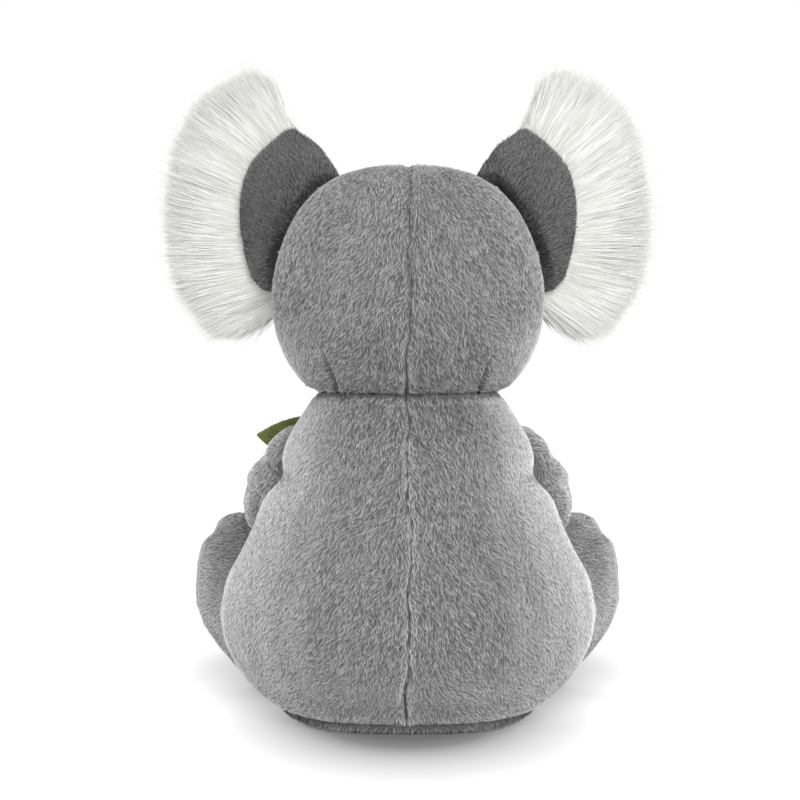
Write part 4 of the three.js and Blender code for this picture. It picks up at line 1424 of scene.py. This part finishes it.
@dataclass
class Arm(Part):
    """One stuffed arm, bent forward, with a fold below the shoulder."""

    side: Side
    voxel: float = 1.6
    rounds: int = 8
    sink: float = 0.3
    seam: tuple[Triple, Triple] = ((42, 3, 116), (51, -12, 98))
    sewn: Triple = (4.5, 6.5, 1.0)  # edge, reach and depth of what is tucked into the body
    fold_size: tuple[float, float] = (1.8, 2.4)  # depth and width
    pile: Pile = Pile()

    LINE = ((41, 4, 119), (49.5, -7, 102), (55.5, -25, 87.5), (45, -54, 83), (24, -72, 87))

    def build(self, shop: Workshop) -> None:
        """Builds the arm, blended into the body at the shoulder."""
        side, node = self.side, f"arm_cover_{self.side.word}"
        nodes = [node, f"arm_stuffing_{side.word}"]
        skin = smooth_skin(f"{node}_open", nodes, self.voxel, self.rounds, self.sink)
        rows = places(skin)
        high = ease_mm(rows[:, 2], 103, 122)[:, None]
        middle = np.exp(-(((rows[:, 2:] - 100 * MM) / (11 * MM)) ** 2))
        inner = 1 - ease_mm(np.abs(rows[:, :1]), 46, 66)
        shift = high * np.array(side.of(-7, 1, 3)) + middle * np.array(side.of(1, 0, 0))
        shift[:, 2:] += 13 * MM * (inner * ease_mm(rows[:, 2:], 95, 112))
        rows += shift
        rows[:, 0] *= 1 - pinch(rows) * (1 - ease_mm(np.abs(rows[:, 0]), 60.5, 65))
        put(skin, rows)
        fold = Seam((side.value * 58, 0, 105), (side.value * 0.66, 0, 0.75))
        groove(skin, fold, ease_mm(places(skin)[:, 1], -28, -14), *self.fold_size)
        tuck_into(skin, shop.trunk, *self.sewn)
        rows, normals = surface(skin)
        way = along_line([side.of(*spot) for spot in self.LINE], rows)
        # painted light: the arm is painted lighter overall and more so at its sides
        pale = 0.5 + 0.5 * sideways(normals, 0.4, 0.9)
        comb_panel(skin, way, clear_of(rows, shop.trunk, 1.0), pale=pale)
        start, end = (side.of(*spot) for spot in self.seam)
        for piece in shop.dress(skin, node, self.pile, GREY, wall=0):
            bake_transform(piece, "body", f"arm_{side.word}", start, end)


@dataclass
class Leg(Part):
    """One stuffed leg with a foot that shows its toes, and a paler sole."""

    side: Side
    voxel: float = 1.7
    rounds: int = 8
    sink: float = 0.2
    hip: tuple[float, float] = (32.0, -16.0)
    splay: float = 31.0
    length: float = 89.0
    sole_share: float = 0.925
    tuck: tuple[float, float] = (1.4, 1.6)
    sewn: Triple = (2.0, 3.6, 1.0)  # edge, reach and depth of what is tucked into the body
    give: tuple[float, float] = (22.0, 48.0)  # where the blend starts and ends along the leg
    pile: Pile = Pile(length=2.3, width=0.6, roundness=0.4)
    sole_pile: Pile = Pile(length=2.8, lift=0.4, stray=0.5)

    def build(self, shop: Workshop) -> None:
        """Builds the leg, blended into the body at the hip, and its sole."""
        side, body = self.side, f"leg_{self.side.word}"
        nodes = [f"{kind}_{side.word}" for kind in ("leg_cover", "sole_pad", "leg_stuffing")]
        skin = smooth_skin(f"{body}_skin", nodes, self.voxel, self.rounds, self.sink)
        rows = places(skin)
        high = ease_mm(rows[:, 2], 40, 74)[:, None]
        low = 1 - ease_mm(rows[:, 2], 0, 32)[:, None]
        shift = high * np.array(side.of(1.6, 0, 2.0)) - low * np.array(side.of(6, 0, 0))
        put(skin, rows + shift)
        press_flat(skin)
        tuck_into(skin, shop.trunk, *self.sewn)
        splay = math.radians(self.splay)
        way = Vector((side.value * math.sin(splay), -math.cos(splay), 0))
        hip = side.of(*self.hip, 0)
        at = (hip + way * self.length * self.sole_share * MM) / MM
        ankle = Seam(tuple(at), tuple(-way))
        forward = np.array([way]) + np.array([[0, 0, -0.7]])
        start, end = (hip + way * far * MM for far in self.give)
        for node, seam, pile, look, lie in (
            (nodes[0], ankle, self.pile, GREY, forward),
            (nodes[1], ankle.turned(), self.sole_pile, SOLE, np.array([[0, 0, -1.0]])),
        ):
            panel = cut_panel(skin, f"{node}_open", [seam], self.tuck)
            rows, normals = surface(panel)
            cover = seam_cover(rows, [seam]) * clear_of(rows, shop.trunk, 1.0)
            # painted light: the leg and sole are painted lighter at their sides, and the leg lower down
            pale = 0.2 + 0.5 * sideways(normals, 0.5, 0.95)
            pale += 0.5 * (1 - ease_mm(rows[:, 2], 28, 62)) * (look is GREY)
            comb_panel(panel, lie, cover * off_floor(normals), pale=pale)
            for piece in shop.dress(panel, node, pile, look):
                if look is GREY:
                    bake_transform(piece, "body", body, start, end)
                else:
                    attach(piece, body)
        bpy.data.objects.remove(skin)


@dataclass
class Sprig(Part):
    """A felt sprig in the left paw: a stem and three leaves with stitched veins."""

    voxel: float = 0.75
    stem_voxel: float = 0.6
    cupping: tuple[float, float] = (1.1, 0.9)  # across the leaf and along it
    vein: tuple[float, float] = (2.2, 0.6)  # pitch and gauge
    fuzz: Pile = Pile(
        spacing=0.9, length=1.3, width=0.16, thickness=0.12, lift=0.7, stray=2.5, swirl=2.0
    )

    LEAVES = ("leaf_outer", "leaf_inner", "leaf_tip")

    def build(self, shop: Workshop) -> None:
        """Builds the sprig, which rides on the left arm."""
        stem = smooth_skin("felt_stem", ["sprig_stem"], self.stem_voxel, 4, 0.0)
        stem.data.shade_smooth()
        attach(finish_piece(stem, STEM, ["sprig_stem"]), "arm_left")
        for at, node in enumerate(self.LEAVES):
            for piece in self._leaf(shop, node, 91 + 3 * at):
                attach(piece, "arm_left")

    def _leaf(self, shop: Workshop, node: str, seed: int) -> list[Object]:
        """A cupped leaf, its fuzz and its vein, stitched along both faces."""
        leaf = smooth_skin(f"felt_{node}", [node], self.voxel, 3, 0.0)
        rows = places(leaf)
        middle = rows.mean(0)
        along, across, flat = np.linalg.svd(rows - middle, full_matrices=False)[2]
        long, wide = (rows - middle) @ along, (rows - middle) @ across
        half = np.abs(long).max()
        cup = self.cupping[0] * MM * (wide / np.abs(wide).max()) ** 2
        cup += self.cupping[1] * MM * (long / half) ** 2
        put(leaf, rows + flat * (cup - cup.mean())[:, None])
        leaf.data.shade_smooth()
        comb_panel(leaf, along[None], np.ones(len(rows)))
        fuzz = self.fuzz.grow(shop.loom, leaf, f"{node}_fuzz", FUZZ, seed, "leaf_felt")
        found = tree_of(leaf)
        veins = []
        for face in (1, -1):
            line = []
            for share in np.linspace(-0.86, 0.74, 24):
                start = Vector(middle + along * half * share + flat * face * 9 * MM)
                if hit := found.ray_cast(start, Vector(flat * -face))[0]:
                    line.append(hit + Vector(flat * face * 0.12 * MM))
            if len(line) > 3:
                veins.append(line)
        vein = shop.sewing.sew(f"{node}_vein", veins, *self.vein, GREEN_THREAD, "leaf_felt")
        return [finish_piece(leaf, LEAF, [node]), fuzz, vein]


@dataclass
class Filling(Part):
    """The fibre inside each part, and the pouch of pellets that keeps the koala seated."""

    voxel: float = 4.5
    arm_voxel: float = 3.0
    pouch_voxel: float = 2.5
    loose: float = 1.6

    BODIES = ("body", "head", "arm_left", "arm_right", "leg_left", "leg_right")

    def build(self, shop: Workshop) -> None:
        """Builds what is inside, each filling riding on its body."""
        for body in self.BODIES:
            part, _, side = body.partition("_")
            node = f"{part}_stuffing_{side}".rstrip("_")
            voxel = self.arm_voxel if part == "arm" else self.voxel
            fill = smooth_skin(f"fibre_{node}", [node], voxel, 4, self.loose)
            self._seat(fill, FIBRE, "fibre", node, 0.85, body)
        pouch = smooth_skin("cotton_pellet_pouch", ["pellet_pouch"], self.pouch_voxel, 4, 0.2)
        self._seat(pouch, COTTON, "pouch_cotton", "pellet_pouch", 0.7, "body")

    def _seat(self, piece: Object, finish: Finish, slot: str, node: str, fill: float, body: str):
        """Finishes a filling and sets it on its body."""
        piece.data.shade_smooth()
        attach(finish_piece(piece, finish, [node]), body)


class Studio:
    """The camera, the lamps and the pale floor."""

    EYE = Vector((3.4, 1200, 190)) * MM
    AIM = Vector((3.4, 0, 133.6)) * MM
    HALF_FRAME = 168.0 / 1200.0
    FLOOR_HALF = 4.0

    def build(self) -> None:
        """Builds the studio."""
        self._camera()
        self._floor()
        self._lamps()
        self._world()

    def _aim(self, name: str, data: bpy.types.ID, place: Sequence[float], aim: Vector) -> Object:
        """Places a camera or a lamp, and turns it towards a point."""
        made = show(bpy.data.objects.new(name, data))
        made.location = place
        made.rotation_euler = (aim - Vector(place)).to_track_quat("-Z", "Y").to_euler()
        return made

    def _camera(self) -> None:
        """Places the camera where the photograph was taken from, behind the koala."""
        lens = bpy.data.cameras.new("camera")
        lens.sensor_width = 36
        lens.lens = 18 / self.HALF_FRAME
        lens.clip_end = 50
        bpy.context.scene.camera = self._aim("camera", lens, self.EYE, self.AIM)

    def _floor(self) -> None:
        """A matt white floor that shows the koala's shadow, partly real and partly painted in its material.
        """
        mesh = bpy.data.meshes.new("floor")
        half = self.FLOOR_HALF
        corners = [(-half, -half, 0), (half, -half, 0), (half, half, 0), (-half, half, 0)]
        mesh.from_pydata(corners, [], [(0, 1, 2, 3)])
        mesh.materials.append(PaperFinish("studio_paper").material())
        show(bpy.data.objects.new("floor", mesh))

    def _lamps(self) -> None:
        """A broad soft lamp from behind, weaker ones above and ahead, and a spot on each hip."""
        for name, place, size, power in (
            ("key_lamp", (-0.36, 1.5, 1.0), 1.1, 19.8),
            ("top_lamp", (0.0, -0.45, 1.6), 1.2, 3.0),
            ("front_lamp", (0.35, -1.5, 0.9), 1.0, 13.0),
        ):
            light = bpy.data.lights.new(name, "AREA")
            light.shape = "DISK"
            light.size = size
            light.energy = power
            self._aim(name, light, place, Vector((0, 0, 0.12)))
        for side, power in ((Side.LEFT, 66.0), (Side.RIGHT, 84.0)):
            light = bpy.data.lights.new(f"{side.word}_lamp", "SPOT")
            light.energy = power
            light.spot_size = math.radians(15)
            light.spot_blend = 1.0
            light.shadow_soft_size = 0.2
            self._aim(light.name, light, side.of(1350, 150, 300), Vector((0, 0, 0.045)))

    def _world(self) -> None:
        """Even soft light, and white where the camera sees past the floor."""
        world = bpy.data.worlds.new("studio")
        world.use_nodes = True
        bpy.context.scene.world = world
        tree = world.node_tree
        seen = add_node(tree, "ShaderNodeLightPath", out="Is Camera Ray")
        strength = add_node(tree, "ShaderNodeMapRange", {"Value": seen, 3: 0.57, 4: 1.0}, 0)
        feed(tree, tree.nodes["Background"], {"Color": (1, 1, 1, 1), "Strength": strength})


def main() -> None:
    """Builds the studio and the koala."""
    logging.basicConfig(level=logging.INFO, format="%(name)s: %(message)s")
    bpy.context.scene.view_settings.view_transform = "Standard"
    Studio().build()
    shop = Workshop()
    limbs = [kind(side) for side in Side for kind in (Ear, Arm, Leg)]
    for part in (Body(), Head(), Face(), *limbs, Sprig(), Filling()):
        part.build(shop)
    bpy.data.objects.remove(shop.trunk_skin)


if __name__ == "__main__":
    main()
